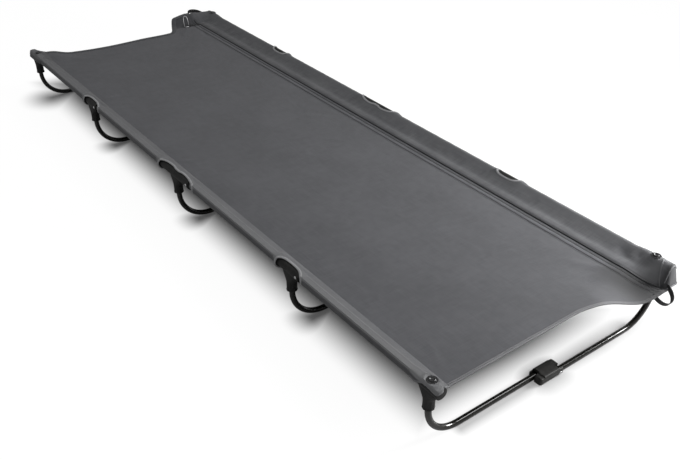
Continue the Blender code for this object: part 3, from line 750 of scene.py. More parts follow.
def panel_half(half, shares):
    """Half the panel, from the middle of the bed to one long side."""
    rows = []
    for down in np.linspace(0, 1, PANEL_ROWS):
        y = 0.0
        for _ in range(4):
            x = shares * (-NEAR_EDGE if half == "near" else far_crease_x(y))
            y = foot_edge(x) + (head_edge(x) - foot_edge(x)) * down
        rows.append(np.stack((x, y, panel_height(x, y)), axis=1))
    return thick(skin("panel", rows), CLOTH)


def bend_with_frames(piece, half):
    """Bakes the piece's placement into its mesh, in the same way for either half."""
    if half == "near":
        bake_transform(piece)
    else:
        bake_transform(piece)


# The panel gets painted shade at its far foot corner and in the hollow at its far head corner.
charcoal = woven("charcoal_weave", (0.060, 0.061, 0.067), (0.083, 0.084, 0.092),
                 (0.095, 0.096, 0.104), painted_patches=((*FOOT_CORNER_SHADE, 1.0, PAINTED_SHADE_COLOUR),
                                                 (*HEAD_HOLLOW_SHADE, 0.62, PAINTED_SHADE_COLOUR)))
panel_shares = {"near": np.linspace(-1, 0, 50),
                "far": np.concatenate((np.linspace(0, 0.86, 38), np.linspace(0.866, 1, 27)))}
for half, shares in panel_shares.items():
    panel = finished(f"bed_panel_{half}_half", panel_half(half, shares), charcoal)
    bend_with_frames(panel, half)
    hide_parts("bed_panel")
    width = -NEAR_EDGE if half == "near" else far_crease_x(0.0)


# Hems of the panel
# At the head and at the foot the panel's raw edge is folded over twice and sewn with one row of
# stitching, which leaves a soft rounded band.

HEM_WIDTHS = {"foot": 0.008, "head": 0.015}
HEM_THICKNESS = 0.0032
HEM_STEPS = 60
HEM_GAP = 0.001
THREAD_SIDES = 6
THREAD_RINGS = (-0.86, 0.0, 0.86)
THREAD_RING_REACH = 0.45


def band_outline(width, thickness, steps=5):
    """The outline of a flat band with round edges."""
    bend = thickness / 2
    line = []
    for side in (1, -1):
        for step in range(steps + 1):
            angle = math.pi * step / steps - math.pi / 2
            line.append((-side * bend * math.sin(angle),
                         side * (width / 2 - bend + bend * math.cos(angle))))
    return line


def left_of(path):
    """The level direction to the left of a path, at each of its points."""
    ahead = unit(np.gradient(path[:, :2], axis=0))
    return np.stack((-ahead[:, 1], ahead[:, 0]), axis=1)


def hem_path(end, half):
    edge = foot_edge if end < 0 else head_edge
    first, last = (NEAR_EDGE, 0) if half == "near" else (0, far_crease_x(edge(POLE_X)) - HEM_GAP)
    x = np.linspace(first, last, HEM_STEPS)
    flat = np.stack((x, edge(x)), axis=1)
    flat -= left_of(flat) * end * HEM_WIDTHS["foot" if end < 0 else "head"] / 2
    middle = -1 if half == "near" else 0
    flat[middle, 0] = x[middle]
    return np.column_stack((flat, panel_height(*flat.T) - CLOTH / 2))


def drawn(name, path, outline, across, finish, ring=False):
    """A piece that has one outline all along its path. A ring's path closes on itself."""
    path = np.asarray(path, float)
    across = np.broadcast_to(np.asarray(across, float), path.shape)
    if ring:
        lap = ((2, 2), (0, 0))
        rows = swept(np.pad(path, lap, "wrap"), outline, np.pad(across, lap, "wrap"))[2:-2]
    else:
        rows = swept(path, outline, across)
    mesh = skin(name, rows, around=True, along=ring, capped=not ring)
    return finished(name, mesh, finish, sharp=60)


def stitches(name, path, up, finish, gap=0.0046, length=0.0034, radius=0.00045):
    """A row of threads lying half sunk along a path."""
    path = np.asarray(path, float)
    lengths = np.concatenate(([0.0], np.cumsum(np.linalg.norm(np.diff(path, axis=0), axis=1))))
    places = np.arange(gap, lengths[-1] - gap / 2, gap)

    def along(values, places):
        return np.stack([np.interp(places, lengths, column) for column in values.T], axis=1)

    centres = along(path, places)
    ahead = unit(along(path, places + gap / 4) - centres)
    up = along(np.broadcast_to(np.asarray(up, float), path.shape), places)
    side = unit(np.cross(ahead, up))
    up = np.cross(side, ahead)
    form = [(0, 0, -0.5)]
    for share in THREAD_RINGS:
        form += [(a, b, share * THREAD_RING_REACH)
                 for a, b in circle(math.sqrt(1 - share ** 2), THREAD_SIDES)]
    form = np.array(form + [(0, 0, 0.5)]) * (radius, radius, length)
    verts = (centres[:, None] + side[:, None] * form[:, :1] + up[:, None] * form[:, 1:2]
             + ahead[:, None] * form[:, 2:]).reshape(-1, 3)
    faces = []
    for base in range(0, len(verts), len(form)):
        first, last = base + 1, base + len(form) - 1
        for step in range(THREAD_SIDES):
            after = (step + 1) % THREAD_SIDES
            faces.append((base, first + after, first + step))
            faces.append((last, last - THREAD_SIDES + step, last - THREAD_SIDES + after))
            for row in range(first, last - THREAD_SIDES, THREAD_SIDES):
                faces.append((row + step, row + after,
                              row + THREAD_SIDES + after, row + THREAD_SIDES + step))
    mesh = bpy.data.meshes.new(name)
    mesh.from_pydata(verts.tolist(), [], faces)
    return finished(name, mesh, finish, sharp=80)


# The foot hems are a paler copy of the cloth, painted light where the rounded band catches the lamps,
# with painted shade at the far corner. The head hems are a darker copy, painted shade.
HEM_WEAVE_PAINTED_LIGHT = ((0.120, 0.121, 0.127), (0.165, 0.166, 0.172), (0.165, 0.166, 0.172))
hem_cloths = {"foot": woven("foot_hem_weave", *HEM_WEAVE_PAINTED_LIGHT,
                            painted_patches=((*FOOT_CORNER_SHADE, 0.93, PAINTED_SHADE_COLOUR),)),
              "head": woven("head_hem_weave", (0.036, 0.037, 0.041), (0.052, 0.053, 0.058),
                            (0.060, 0.061, 0.066))}
thread = grained("black_thread", (900, 900, 900), (0.016, 0.016, 0.018),
                 (0.034, 0.034, 0.037), 0.0001, 0.7)
for end, word in ((1, "head"), (-1, "foot")):
    for half in ("near", "far"):
        path = hem_path(end, half)
        hem = drawn(f"{word}_hem_{half}_half", path, band_outline(HEM_WIDTHS[word], HEM_THICKNESS),
                    (0, 0, 1), hem_cloths[word])
        row = stitches(f"{word}_hem_stitches_{half}_half",
                       path + (0, 0, HEM_THICKNESS / 2), (0, 0, 1), thread)
        for piece in (hem, row):
            bend_with_frames(piece, half)


# Far seam
# The far sleeve and the panel are joined in a felled seam with a black cord in its sunk line. The
# cord is partly painted shade: a dark piece that deepens the dark line of the groove. Two rows of
# stitching hold the turned-in edge flat beside it.

SEAM_CORD_RADIUS = 0.0021
SEAM_THREAD_RISE = 0.0004

seam_y = np.linspace(-0.965, 0.925, 320)
for number, inset in enumerate(SEAM_ROWS, 1):
    seam_x = far_crease_x(seam_y) - inset
    path = np.column_stack((seam_x, seam_y, panel_height(seam_x, seam_y) + SEAM_THREAD_RISE))
    row = stitches(f"far_seam_stitches_{number}", path, (0, 0, 1), thread, 0.0042, 0.0040, 0.0011)
    bend_with_frames(row, "far")
seam_x = far_crease_x(seam_y) - SEAM_CORD_RADIUS / 2
path = np.column_stack((seam_x, seam_y, panel_height(seam_x, seam_y) + 1.1 * SEAM_CORD_RADIUS))
cord = drawn("far_seam_cord", path, circle(SEAM_CORD_RADIUS, 10), (1, 0, 0), thread)
bend_with_frames(cord, "far")


# Sleeves
# Each long side is a sleeve of the same cloth, folded round the pole and sewn back to the panel's
# edge. It is cut out in a bound arch at each middle socket, so that the leg can come through.

CREST = 0.0112
CREST_OVER_END = 0.0143
BARREL_MARGIN = 0.012
SLEEVE_SLACK = 0.0016
SLEEVE_END = 0.8847
SLEEVE_ROWS = 230
# Where the near sleeve's cloth is pressed into a line: its angle round the pole and its reach.
NEAR_FOLDS = ((math.radians(-10.6), math.radians(18.6)), (math.radians(41.5), math.radians(31.0)))
# Each side: with which power the cloth curves up from its seam and at which angle it comes to the
# pole. Then where its notches start and end, how far round the pole they go, and how far the
# cloth is from the pole's axis over a middle barrel.
SIDES = {
    "near": {"power": 1.0, "tangent": math.radians(-29.0),
             "notches": ((0.540, 0.450), (0.078, -0.090), (-0.4525, -0.5425)),
             "notch_angles": (math.radians(2), math.radians(232)), "over_barrel": 0.0158},
    "far": {"power": 1.9, "tangent": math.radians(-20.0),
            "notches": ((0.534, 0.456), (0.074, -0.075), (-0.461, -0.540)),
            "notch_angles": (math.radians(-50), math.radians(232)), "over_barrel": 0.0142},
}
# Each hollow in the far sleeve: how far out and where along it lies, its half sizes, its depth.
FAR_HOLLOWS = ((-0.026, -0.866, 0.013, 0.013, 0.0040), (-0.020, -0.899, 0.007, 0.004, 0.0025),
               (-0.036, -0.885, 0.006, 0.016, 0.0020))
RETURN_ANGLE = math.radians(206)
BARRELS = ((-0.508, 0.040), (-0.008, 0.075), (0.492, 0.040))
END_RISE = (0.883, 0.903)
POCKET_TUCK = 0.002
SLEEVE_RIPPLE = 0.00022
SEAM_ALLOWANCE = 0.0003
# How much flatter the far side's curve gets past its foot corner, and over which length.
FAR_FOOT_FLATTER = 0.7
FAR_FOOT_RUN = 0.05
# The cloth puffs up beside the far seam: how much, and how far out it rises and goes down again.
FAR_PUFF = (0.0006 + SEAM_GROOVE, (0.0, 0.004), (0.032, 0.012))
CUTTER_RADII = (0.004, 0.026)
CUTTER_SHARES = (0.0, 0.33, 0.66, 1.0)
NOTCH_SQUARENESS = 3.2
# The middle notch reaches less far towards the panel in its middle: by which share, and over
# which half length.
NOTCH_DIP = 0.16
NOTCH_DIP_HALF = 0.014
TURN = {"near": -1, "far": 1}


def crest_radius(side, run):
    """How far the cloth lies from the pole's axis, at a length along the side."""
    radius = CREST + (CREST_OVER_END - CREST) * ramp(np.abs(run), *END_RISE)
    for middle, half in BARRELS:
        over = ramp(np.abs(run - middle), half + BARREL_MARGIN, half)
        radius = np.maximum(radius, CREST + (SIDES[side]["over_barrel"] - CREST) * over)
    return radius


def crease_place(side, run):
    """The seam between the panel and the side's cloth, out from the pole's axis and up."""
    if side == "near":
        return np.full_like(run, -NEAR_CREASE), panel_height(np.full_like(run, NEAR_EDGE), -run)
    x = far_crease_x(run)
    return x - POLE_X, panel_height(x, run)


def taut_angle(crease_out, crease_rise, radius):
    """The angle round the pole at which cloth pulled straight from the seam comes to lie on it."""
    turned_in = np.arccos(np.clip(radius / np.hypot(crease_out, crease_rise), -1, 1))
    return np.arctan2(crease_out, crease_rise) + turned_in


def side_cloth(side, column, run, hem=None, shrink=0.0):
    """Points on a long side's cloth, as distances out from the pole's axis, along and up.

    column runs from 0 at the seam to 1 where the cloth meets the pole, to 2 where it leaves it,
    and to 3 where it is back under the seam, or at the height hem of a pocket's lower edge.
    """
    sizes = SIDES[side]
    crease_out, crease_up = crease_place(side, run)
    radius = crest_radius(side, run) - shrink
    meets = np.minimum(sizes["tangent"], taut_angle(crease_out, crease_up - POLE_Z, radius))
    leaves = RETURN_ANGLE
    if hem is not None:
        leaves = np.arccos(np.clip((hem + POCKET_TUCK - POLE_Z) / radius, 0, 1))
    angle = meets + (leaves - meets) * np.clip(column - 1, 0, 1)
    if side == "near":
        for line, reach in NEAR_FOLDS:
            radius = radius / np.cos(np.clip(reach - np.abs(angle - line), 0, None))
    if hem is None:
        radius = radius + SLEEVE_SLACK * (1 - np.cos(angle)) / 2
        ripple = np.sin(run * 61 + angle) * np.sin(run * 173 + 2 * angle)
        radius = radius + SLEEVE_RIPPLE * ripple
    out = radius * np.sin(angle)
    up = POLE_Z + radius * np.cos(angle)
    slope = np.clip(column, 0, 1)
    power = sizes["power"]
    if side == "far":
        power = power - FAR_FOOT_FLATTER * ramp(-run, CORNER_Y, CORNER_Y + FAR_FOOT_RUN)
    rise = slope ** power
    out = np.where(column < 1, crease_out + (out - crease_out) * slope, out)
    up = np.where(column < 1, crease_up + (up - crease_up) * rise, up)
    if side == "far":
        from_seam = out - crease_out
        lift, rising, falling = FAR_PUFF
        puff = lift * ramp(from_seam, *rising) * ramp(from_seam, *falling)
        up = up + np.where(column < 1, puff, 0.0)
        for hollow_out, hollow_run, half_out, half_run, depth in FAR_HOLLOWS:
            up = up - depth * np.exp(-((out - hollow_out) / half_out) ** 2
                                     - ((run - hollow_run) / half_run) ** 2)
    last = np.clip(column - 2, 0, 1)
    last_out, last_up = out, up
    if hem is None:
        last_out, last_up = crease_out, crease_up - CLOTH - SEAM_ALLOWANCE
    else:
        last_up = hem
    out = out + (last_out - out) * last
    up = up + (last_up - up) * last
    return np.stack(np.broadcast_arrays(out, run, up), axis=-1)


def on_side(side, points):
    """The near side is the far side's shape turned half round."""
    return (points + (POLE_X, 0, 0)) * (TURN[side], TURN[side], 1)


def notch_curve(side, notch, steps):
    """A notch's edge as angles round the pole and lengths along the side."""
    first, second = SIDES[side]["notches"][notch]
    low, high = SIDES[side]["notch_angles"]
    along, around = rounded_square(2 * math.pi * np.arange(steps) / steps, NOTCH_SQUARENESS)
    along = along * (first - second) / 2
    around = around * (high - low) / 2
    if notch == 1:
        dip = 1 - NOTCH_DIP * np.exp(-(along / NOTCH_DIP_HALF) ** 2)
        around = np.where(around < 0, around * dip, around)
    middle = TURN[side] * (first + second) / 2
    return np.column_stack(((low + high) / 2 + around, middle + along))


def sleeve_radius(side, angle, run):
    """How far the sleeve's face is from the pole's axis at an angle round it."""
    columns = np.concatenate((np.linspace(0, 1, 12), np.linspace(1.02, 2, 60),
                              np.linspace(2.02, 3, 30)))
    radii = []
    for a, place in zip(angle, run):
        out, _, up = (side_cloth(side, columns, np.full_like(columns, place)) - (0, 0, POLE_Z)).T
        radii.append(np.interp(a, np.unwrap(np.arctan2(out, up)), np.hypot(out, up)))
    return np.array(radii)


def round_pole(side, angle, run, radius):
    """Points at these angles round the pole and lengths along the side."""
    out, up = radius * np.sin(angle), POLE_Z + radius * np.cos(angle)
    return on_side(side, np.stack((out, run, up), axis=-1))


def notch_cutter(side, notch):
    curve = notch_curve(side, notch, 72)
    centre = curve.mean(axis=0)
    rows = []
    for radius, shares in zip(CUTTER_RADII, (CUTTER_SHARES, CUTTER_SHARES[::-1])):
        rows += [round_pole(side, *(centre + (curve - centre) * share).T, radius)
                 for share in shares]
    return skin("cutter", rows, around=True)


def spaced(stops, counts):
    """Values from each stop to the next, in so many steps."""
    spans = [np.linspace(*span, endpoint=False) for span in zip(stops, stops[1:], counts)]
    return np.concatenate(spans + [stops[-1:]])


def sleeve_mesh(side):
    columns = spaced((0, 1, 1.0783, 1.3, 1.4425, 2, 3), (14, 4, 7, 6, 13, 8))
    runs = np.linspace(-SLEEVE_END, SLEEVE_END, SLEEVE_ROWS)
    rows = on_side(side, side_cloth(side, *np.meshgrid(columns, runs)))
    cloth = thick(skin("sleeve", rows), CLOTH)
    return combined(cloth, "sleeve", cut=[notch_cutter(side, notch) for notch in range(3)])


# Each side's cloth has its own colour for the painted highlight over the pole, and the near side its
# own heights and reach for it.
side_weaves = {"near": woven("near_side_weave", (0.058, 0.059, 0.063), (0.082, 0.083, 0.087),
                             (0.205, 0.207, 0.212), (0.1495, 0.1530), (0.3065, 0.3165)),
               "far": woven("far_side_weave", (0.044, 0.045, 0.050), (0.088, 0.089, 0.094),
                            (0.084, 0.085, 0.090),
                            # Painted light on the far slope near the foot, and painted shade at the
                            # end of the foot pocket.
                            painted_patches=(((0.20, 0.21), (-0.905, -0.945), 0.7, PAINTED_LIGHT_COLOUR),
                                     ((0.25, 0.26), (-0.955, -0.968), 0.6, PAINTED_SHADE_COLOUR)))}
for side in ("near", "far"):
    sleeve = finished(f"{side}_pole_sleeve", sleeve_mesh(side), side_weaves[side], sharp=50)
    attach(sleeve, f"{side}_frame")
    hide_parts(f"{side}_sleeve")
    0.115 if side == "near" else 0.19


# Near sleeve stitching
# One row of black thread along the near sleeve's outer face, from notch to notch, which holds the
# seam allowance flat inside.

STITCH_ANGLE = math.radians(60)
STITCH_CLEARANCE = 0.006

stops = [SLEEVE_END]
for first, second in SIDES["near"]["notches"]:
    stops += [first + STITCH_CLEARANCE, second - STITCH_CLEARANCE]
stops.append(-SLEEVE_END)
for number, (first, second) in enumerate(zip(stops[::2], stops[1::2]), 1):
    run = np.linspace(-first, -second, 120)
    angle = np.full_like(run, STITCH_ANGLE)
    path = round_pole("near", angle, run, sleeve_radius("near", angle, run))
    up = path - round_pole("near", angle, run, 0.0)
    row = stitches(f"near_sleeve_stitches_{number}", path, up, thread, 0.0046, 0.0038, 0.0006)
    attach(row, "near_frame")


# Notch bindings
# Grey tape folded over the cut edge of each arch and sewn through.

BINDING_WIDTH = 0.0055
BINDING_THICKNESS = 0.0027


def binding_tape():
    """Grey woven tape, ribbed across, a little shiny."""
    finish = Finish("binding_tape")
    finish.bump(finish.ribs(1, 0.0012), 0.00008)
    soil = finish.noise(finish.place(), 90.0, 3.0)
    return finish.shade({"Base Color": finish.tint(soil, (0.24, 0.242, 0.248),
                                                   (0.33, 0.332, 0.338)),
                         "Roughness": 0.55 + soil * 0.2})


tape = binding_tape()
for side in ("near", "far"):
    for notch, number in ((0, 2), (1, 3), (2, 4)):
        curve = notch_curve(side, notch, 110)
        radius = sleeve_radius(side, *curve.T) - CLOTH / 2
        path = round_pole(side, *curve.T, radius)
        outward = path - round_pole(side, *curve.T, 0.0)
        binding = drawn(f"{side}_notch_binding_{number}", path,
                        band_outline(BINDING_WIDTH, BINDING_THICKNESS), outward, tape, ring=True)
        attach(binding, f"{side}_frame")


# Corner pockets
# A pocket of the same cloth over each end socket, with a curtain down its end. Its lower edge is
# hemmed, and a press stud through its top holds it to the pole.

POCKET_START = 0.880
POCKET_OVERLAY = 0.0013
POCKET_EDGE = 0.003
POCKET_WALL_ROWS = 6
STUD_RUN = 0.926
STUD_SEAT = 0.1597
STUD_SEAT_INNER = 0.0112
STUD_SEAT_OUTER = 0.0140
STUD_RIDGE_RADIUS = 0.0155
STUD_RIDGE_HALF_WIDTH = 0.0032
STUD_SEAT_ABOVE_AXIS = 0.006
POCKET_OVERLAY_RUN = (0.905, 0.885)
POCKET_HEM_RUN = 0.022
POCKET_HALF_WAY = 0.006
CREASE_FROM_END = 0.02
FIRST_FROM_END = 0.01
# Each pocket: where it ends, how much sooner it ends at its seam, and how far its end leans out.
# Then its hem's height where the pocket starts, its height at the end and where that change
# starts, how high the ring round the stud stands, and the size of the piece it is cut from.
POCKETS = {
    ("near", "head"): {"end": -0.9700, "back": 0.030, "lean": 0.0, "hem_start": 0.1400,
                       "hem": 0.1380, "hem_from": 0.900, "ridge": 0.0030,
                       "flat": (0.074, 0.092)},
    ("near", "foot"): {"end": 0.9535, "back": 0.0095, "lean": 0.0, "hem_start": 0.1415,
                       "hem": 0.1500, "hem_from": 0.893, "ridge": 0.0030,
                       "flat": (0.060, 0.074)},
    ("far", "head"): {"end": 0.9538, "back": -0.006, "lean": 0.0, "hem_start": 0.1335,
                      "hem": 0.1400, "hem_from": 0.900, "ridge": 0.0,
                      "flat": (0.125, 0.090)},
    ("far", "foot"): {"end": -0.9697, "back": 0.0, "lean": 0.0095, "hem_start": 0.1335,
                      "hem": 0.1120, "hem_from": 0.900, "ridge": 0.0,
                      "flat": (0.125, 0.095)},
}


def stud_dimple(points, sizes):
    """The pocket's height with the flat seat and the raised ring that its stud presses in it."""
    out, run, up = np.moveaxis(points, -1, 0)
    away = np.hypot(out, run - math.copysign(STUD_RUN, sizes["end"]))
    seat = ramp(away, STUD_SEAT_OUTER, STUD_SEAT_INNER)
    ridge = sizes["ridge"] * np.exp(-((away - STUD_RIDGE_RADIUS) / STUD_RIDGE_HALF_WIDTH) ** 2)
    above = ramp(up, POLE_Z, POLE_Z + STUD_SEAT_ABOVE_AXIS)
    return up + above * ((STUD_SEAT - up) * seat + ridge)


def pocket_surface(side, sizes, column, share):
    """Points on a pocket: share is 0 at its start, 1 at its rounded end."""
    end, lean = sizes["end"], sizes["lean"]
    facing = math.copysign(1, end)
    crease_out, _ = crease_place(side, np.full_like(column, end - facing * CREASE_FROM_END))
    first = side_cloth(side, np.minimum(column, 2),
                       np.full_like(column, end - facing * FIRST_FROM_END),
                       hem=sizes["hem_start"])[..., 0]
    reach = abs(end) - sizes["back"] * (1 - ramp(first, crease_out, POCKET_HALF_WAY))
    reach = reach + lean * np.clip(column - 2, 0, 1) * ramp(share, 1 / 3, 1)
    body = np.clip(share, 0, 1) * (reach - POCKET_EDGE - POCKET_START)
    turn = np.clip(share - 1, 0, 1) * math.pi / 2
    run = facing * (POCKET_START + body + POCKET_EDGE * np.sin(turn))
    overlay = POCKET_OVERLAY * ramp(np.abs(run), *POCKET_OVERLAY_RUN)
    shrink = POCKET_EDGE * (1 - np.cos(turn)) - overlay
    hem_share = ramp(np.abs(run), sizes["hem_from"], sizes["hem_from"] + POCKET_HEM_RUN)
    hem = sizes["hem_start"] + (sizes["hem"] - sizes["hem_start"]) * hem_share
    points = side_cloth(side, column, run, hem=hem, shrink=shrink)
    points[..., 2] = stud_dimple(points, sizes)
    return points


def pocket_rows(side, end_word):
    sizes = POCKETS[side, end_word]
    facing = math.copysign(1, sizes["end"])
    columns = spaced((0, 1, 2, 3), (14, 17, POCKET_WALL_ROWS))
    shares = spaced((0, 1, 2), (25, 5))
    top = pocket_surface(side, sizes, *np.meshgrid(columns, shares))
    corner = len(columns) - POCKET_WALL_ROWS - 1
    rim = top[-1, :corner + 1]
    curtain = []
    lower = np.minimum(top[-1, -1, 2], rim[:, 2] - POCKET_EDGE)
    for down in np.linspace(0, 1, POCKET_WALL_ROWS + 1):
        row = rim.copy()
        row[:, 2] += (lower - rim[:, 2]) * down
        row[:, 1] += facing * sizes["lean"] * down
        curtain.append(row)
    return top, np.array(curtain), facing


def pocket_mesh(side, end_word):
    top, curtain, facing = pocket_rows(side, end_word)
    if facing < 0:
        top, curtain = top[::-1], curtain[::-1]
    form = bmesh.new()
    for rows in (top, curtain):
        form.from_mesh(skin("pocket", on_side(side, rows)))
    bmesh.ops.remove_doubles(form, verts=form.verts, dist=2e-5)
    mesh = bpy.data.meshes.new("pocket")
    form.to_mesh(mesh)
    form.free()
    return thick(mesh, CLOTH)


POCKET_BAND = 0.0014
POCKET_BAND_LIFT = 0.0003
POCKET_HEM_WIDTH = 0.0042
POCKET_HEM_LIFT = 0.002
POCKET_EDGE_WIDTH = 0.0026
POCKET_FOLD_WIDTH = 0.0030


def pocket_band(name, points, outward, width, finish):
    """A flat bound edge along a line of points, with its face turned outward."""
    edge = drawn(name, points + outward * POCKET_BAND_LIFT, band_outline(width, POCKET_BAND),
                 outward, finish)
    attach(edge, f"{name.split('_')[0]}_frame")


# The pockets' hems and bound edges have the same painted light at the foot and painted shade at the
# head.
pocket_hem_cloths = {"head": hem_cloths["head"],
                     "foot": woven("foot_pocket_hem_weave", *HEM_WEAVE_PAINTED_LIGHT)}
for (side, end_word), sizes in POCKETS.items():
    top, curtain, facing = pocket_rows(side, end_word)
    hem_cloth = pocket_hem_cloths[end_word]
    lower_edge = on_side(side, np.concatenate((top[:-3, -1], curtain[-1, ::-1])))
    lower_edge[:, 2] += POCKET_HEM_LIFT
    outward = np.column_stack((left_of(lower_edge), np.zeros(len(lower_edge))))
    outward *= math.copysign(1, outward[0, 0] * TURN[side])
    pocket_band(f"{side}_{end_word}_pocket_hem", lower_edge, outward, POCKET_HEM_WIDTH, hem_cloth)
    rim = on_side(side, curtain[0, 4:])
    outward = np.tile((0.0, TURN[side] * facing * 0.7, 0.7), (len(rim), 1))
    pocket_band(f"{side}_{end_word}_pocket_edge", rim, outward, POCKET_EDGE_WIDTH, hem_cloth)
    pocket = finished(f"{side}_{end_word}_corner_pocket", pocket_mesh(side, end_word),
                      side_weaves[side], sharp=50)
    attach(pocket, f"{side}_frame")
    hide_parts(f"{side}_{end_word}_pocket")


# The far foot pocket's end is folded back on itself, in a sewn line from its stud to its corner.
sizes = POCKETS["far", "foot"]
share = np.linspace(0.69, 0.985, 30)
column = np.linspace(1.62, 0.04, 30)
fold_line = pocket_surface("far", sizes, column, share)
outward = unit(np.column_stack((fold_line[:, 0], np.zeros(len(fold_line)),
                                np.maximum(fold_line[:, 2] - POLE_Z, 0.0))))
# The band along the fold is the pale hem cloth, painted light along the folded edge.
pocket_band("far_foot_pocket_fold", on_side("far", fold_line), outward, POCKET_FOLD_WIDTH,
            pocket_hem_cloths["foot"])


# Press studs
# Black moulded cap with a raised ring, set through each pocket into the end of the pole.

STUD_HEIGHT = 0.0034

stud_profile = [(0.0, 0.0019), (0.0024, 0.0020), (0.0037, 0.0023), (0.0043, 0.0030),
                (0.0048, 0.0034), (0.0054, 0.0034), (0.0060, 0.0031), (0.0066, 0.0024),
                (0.0070, 0.0014), (0.0070, 0.0011), (0.0108, 0.0008), (0.0112, 0.0003),
                (0.0108, 0.0), (0.0024, 0.0), (0.0024, -0.0052), (0.0, -0.0052)]
stud_mesh = turned("stud", stud_profile, 40)
stud_finish = grained("glossy_black_nylon", (500, 500, 500), (0.011, 0.011, 0.012),
                      (0.019, 0.019, 0.020), 0.00002, 0.22, 0.12)
for side in ("near", "far"):
    for end_word in ("head", "foot"):
        x, y, _ = middle_of(f"{side}_{end_word}_stud")
        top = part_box(f"{side}_{end_word}_stud")[1].z
        stud = finished(f"{side}_{end_word}_press_stud", stud_mesh, stud_finish, sharp=40)
        stud.location = (x, y, top - STUD_HEIGHT)
        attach(stud, f"{side}_frame")
        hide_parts(f"{side}_{end_word}_stud")


# Pull loops
# A band of black polyester webbing sewn by both ends to the end of each far pocket, for folding
# the bed and for hanging it up.

WEBBING_WIDTH = 0.012
WEBBING = 0.0015
LOOP_POWER = 0.8
LOOP_TIP_ROUND = 0.004
LOOP_STEPS = 33
# Each loop: which end it is on, the tilt of its plane, its middle across the bed and half its
# width, how far along its roots and its tip lie, and the heights of its outer and its inner root.
LOOPS = {"foot": {"end": -1, "tilt": math.radians(58), "middle": 0.277, "spread": 0.0195,
                  "root": 0.977, "tip": 1.006, "heights": (0.118, 0.1085)},
         "head": {"end": 1, "tilt": math.radians(92), "middle": 0.270, "spread": 0.024,
                  "root": 0.955, "tip": 1.010, "heights": (0.150, 0.150)}}


def black_webbing():
    """Black webbing with a fine rib across it and its edges woven tighter."""
    finish = Finish("black_webbing")
    finish.bump(finish.ribs(1, 0.0011) * 0.5 + finish.ribs(0, 0.0024) * 0.5, 0.00018)
    fuzz = finish.noise(finish.place(), 800.0)
    return finish.shade({"Base Color": finish.tint(fuzz, (0.011, 0.011, 0.012),
                                                   (0.026, 0.026, 0.028)),
                         "Roughness": 0.7 + fuzz * 0.15})


def webbing_band(name, path, width, across):
    """A band of webbing along a path, with its width held to the across vector."""
    outline = [(b, a) for a, b in band_outline(width, WEBBING, 4)][::-1]
    return drawn(name, path, outline, across, webbing)


webbing = black_webbing()
for word, sizes in LOOPS.items():
    end, tilt, root = sizes["end"], sizes["tilt"], sizes["root"]
    lean = math.pi / 2 + end * tilt
    depth = (sizes["tip"] - LOOP_TIP_ROUND - root) / math.sin(tilt)
    angle = np.linspace(0, math.pi, LOOP_STEPS)
    reach = depth * np.abs(np.sin(angle)) ** LOOP_POWER
    path = np.column_stack((sizes["middle"] + sizes["spread"] * np.cos(angle),
                            end * root - reach * math.cos(lean),
                            np.linspace(*sizes["heights"], LOOP_STEPS) - reach * math.sin(lean)))
    sewn_in = np.array([(0, -end * inward, 0) for inward in (0.006, 0.003)])
    path = np.concatenate((path[0] + sewn_in, path, path[-1] + sewn_in[::-1]))
    loop = webbing_band(f"{word}_webbing_loop", path, WEBBING_WIDTH,
                        (0, -math.sin(lean), math.cos(lean)))
    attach(loop, "far_frame")
    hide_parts(f"{word}_pull_loop")


# Corner clip
# A clip of bent steel wire that lies on the panel's far corner at the head. A short strap of the
# same webbing holds it: one end is sewn into the far seam and the other is folded round the wire.

CLIP_WIRE = 0.0013
CLIP_HALF_LENGTH = 0.029
CLIP_HALF_WIDTH = 0.0075
CLIP_SQUARENESS = 10 / 3
CLIP_STEPS = 64
CLIP_MIDDLE = np.array((0.2037, 0.9155))
CLIP_AHEAD = np.array((0.388, 0.9217))
CLIP_ASIDE = np.array((0.9217, -0.388))
STRAP_START = np.array((0.2375, 0.8825))
STRAP_WIDTH = 0.009
STRAP_HELD = -0.018
STRAP_HELD_HALF = 0.008
STRAP_RETURN = 0.014

ahead, aside = rounded_square(2 * math.pi * np.arange(CLIP_STEPS) / CLIP_STEPS, CLIP_SQUARENESS)
ahead, raised = ahead * CLIP_HALF_LENGTH, np.maximum(aside, 0.0)
flat = (CLIP_MIDDLE + np.outer(ahead, CLIP_AHEAD)
        + np.outer(aside * CLIP_HALF_WIDTH, CLIP_ASIDE))
raised = raised * np.exp(-((ahead - STRAP_HELD) / STRAP_HELD_HALF) ** 2)
path = np.column_stack((flat, panel_height(*flat.T) + CLIP_WIRE + WEBBING * raised))
clip = drawn("head_corner_clip", path, circle(CLIP_WIRE, 10), (0, 0, 1), steel, ring=True)
bend_with_frames(clip, "far")

strap_end = CLIP_MIDDLE + CLIP_AHEAD * STRAP_HELD + CLIP_ASIDE * CLIP_HALF_WIDTH
strap_run = strap_end - STRAP_START
strap_length = np.hypot(*strap_run)
strap_ahead = strap_run / strap_length
turn_radius = CLIP_WIRE + WEBBING / 2
turn_angle = math.pi * np.arange(1, 8) / 8
share = np.linspace(0, 1, 7)
travel = np.concatenate((np.linspace(0, strap_length, 12),
                         strap_length + turn_radius * np.sin(turn_angle),
                         strap_length - STRAP_RETURN * share))
rise = np.concatenate((np.zeros(12), turn_radius * (1 - np.cos(turn_angle)),
                       2 * turn_radius - (2 * turn_radius - WEBBING) * share))
flat = STRAP_START + np.outer(travel, strap_ahead)
path = np.column_stack((flat, panel_height(*flat.T) + rise + WEBBING / 2))
strap = webbing_band("head_clip_strap", path, STRAP_WIDTH, (-strap_ahead[1], strap_ahead[0], 0))
bend_with_frames(strap, "far")


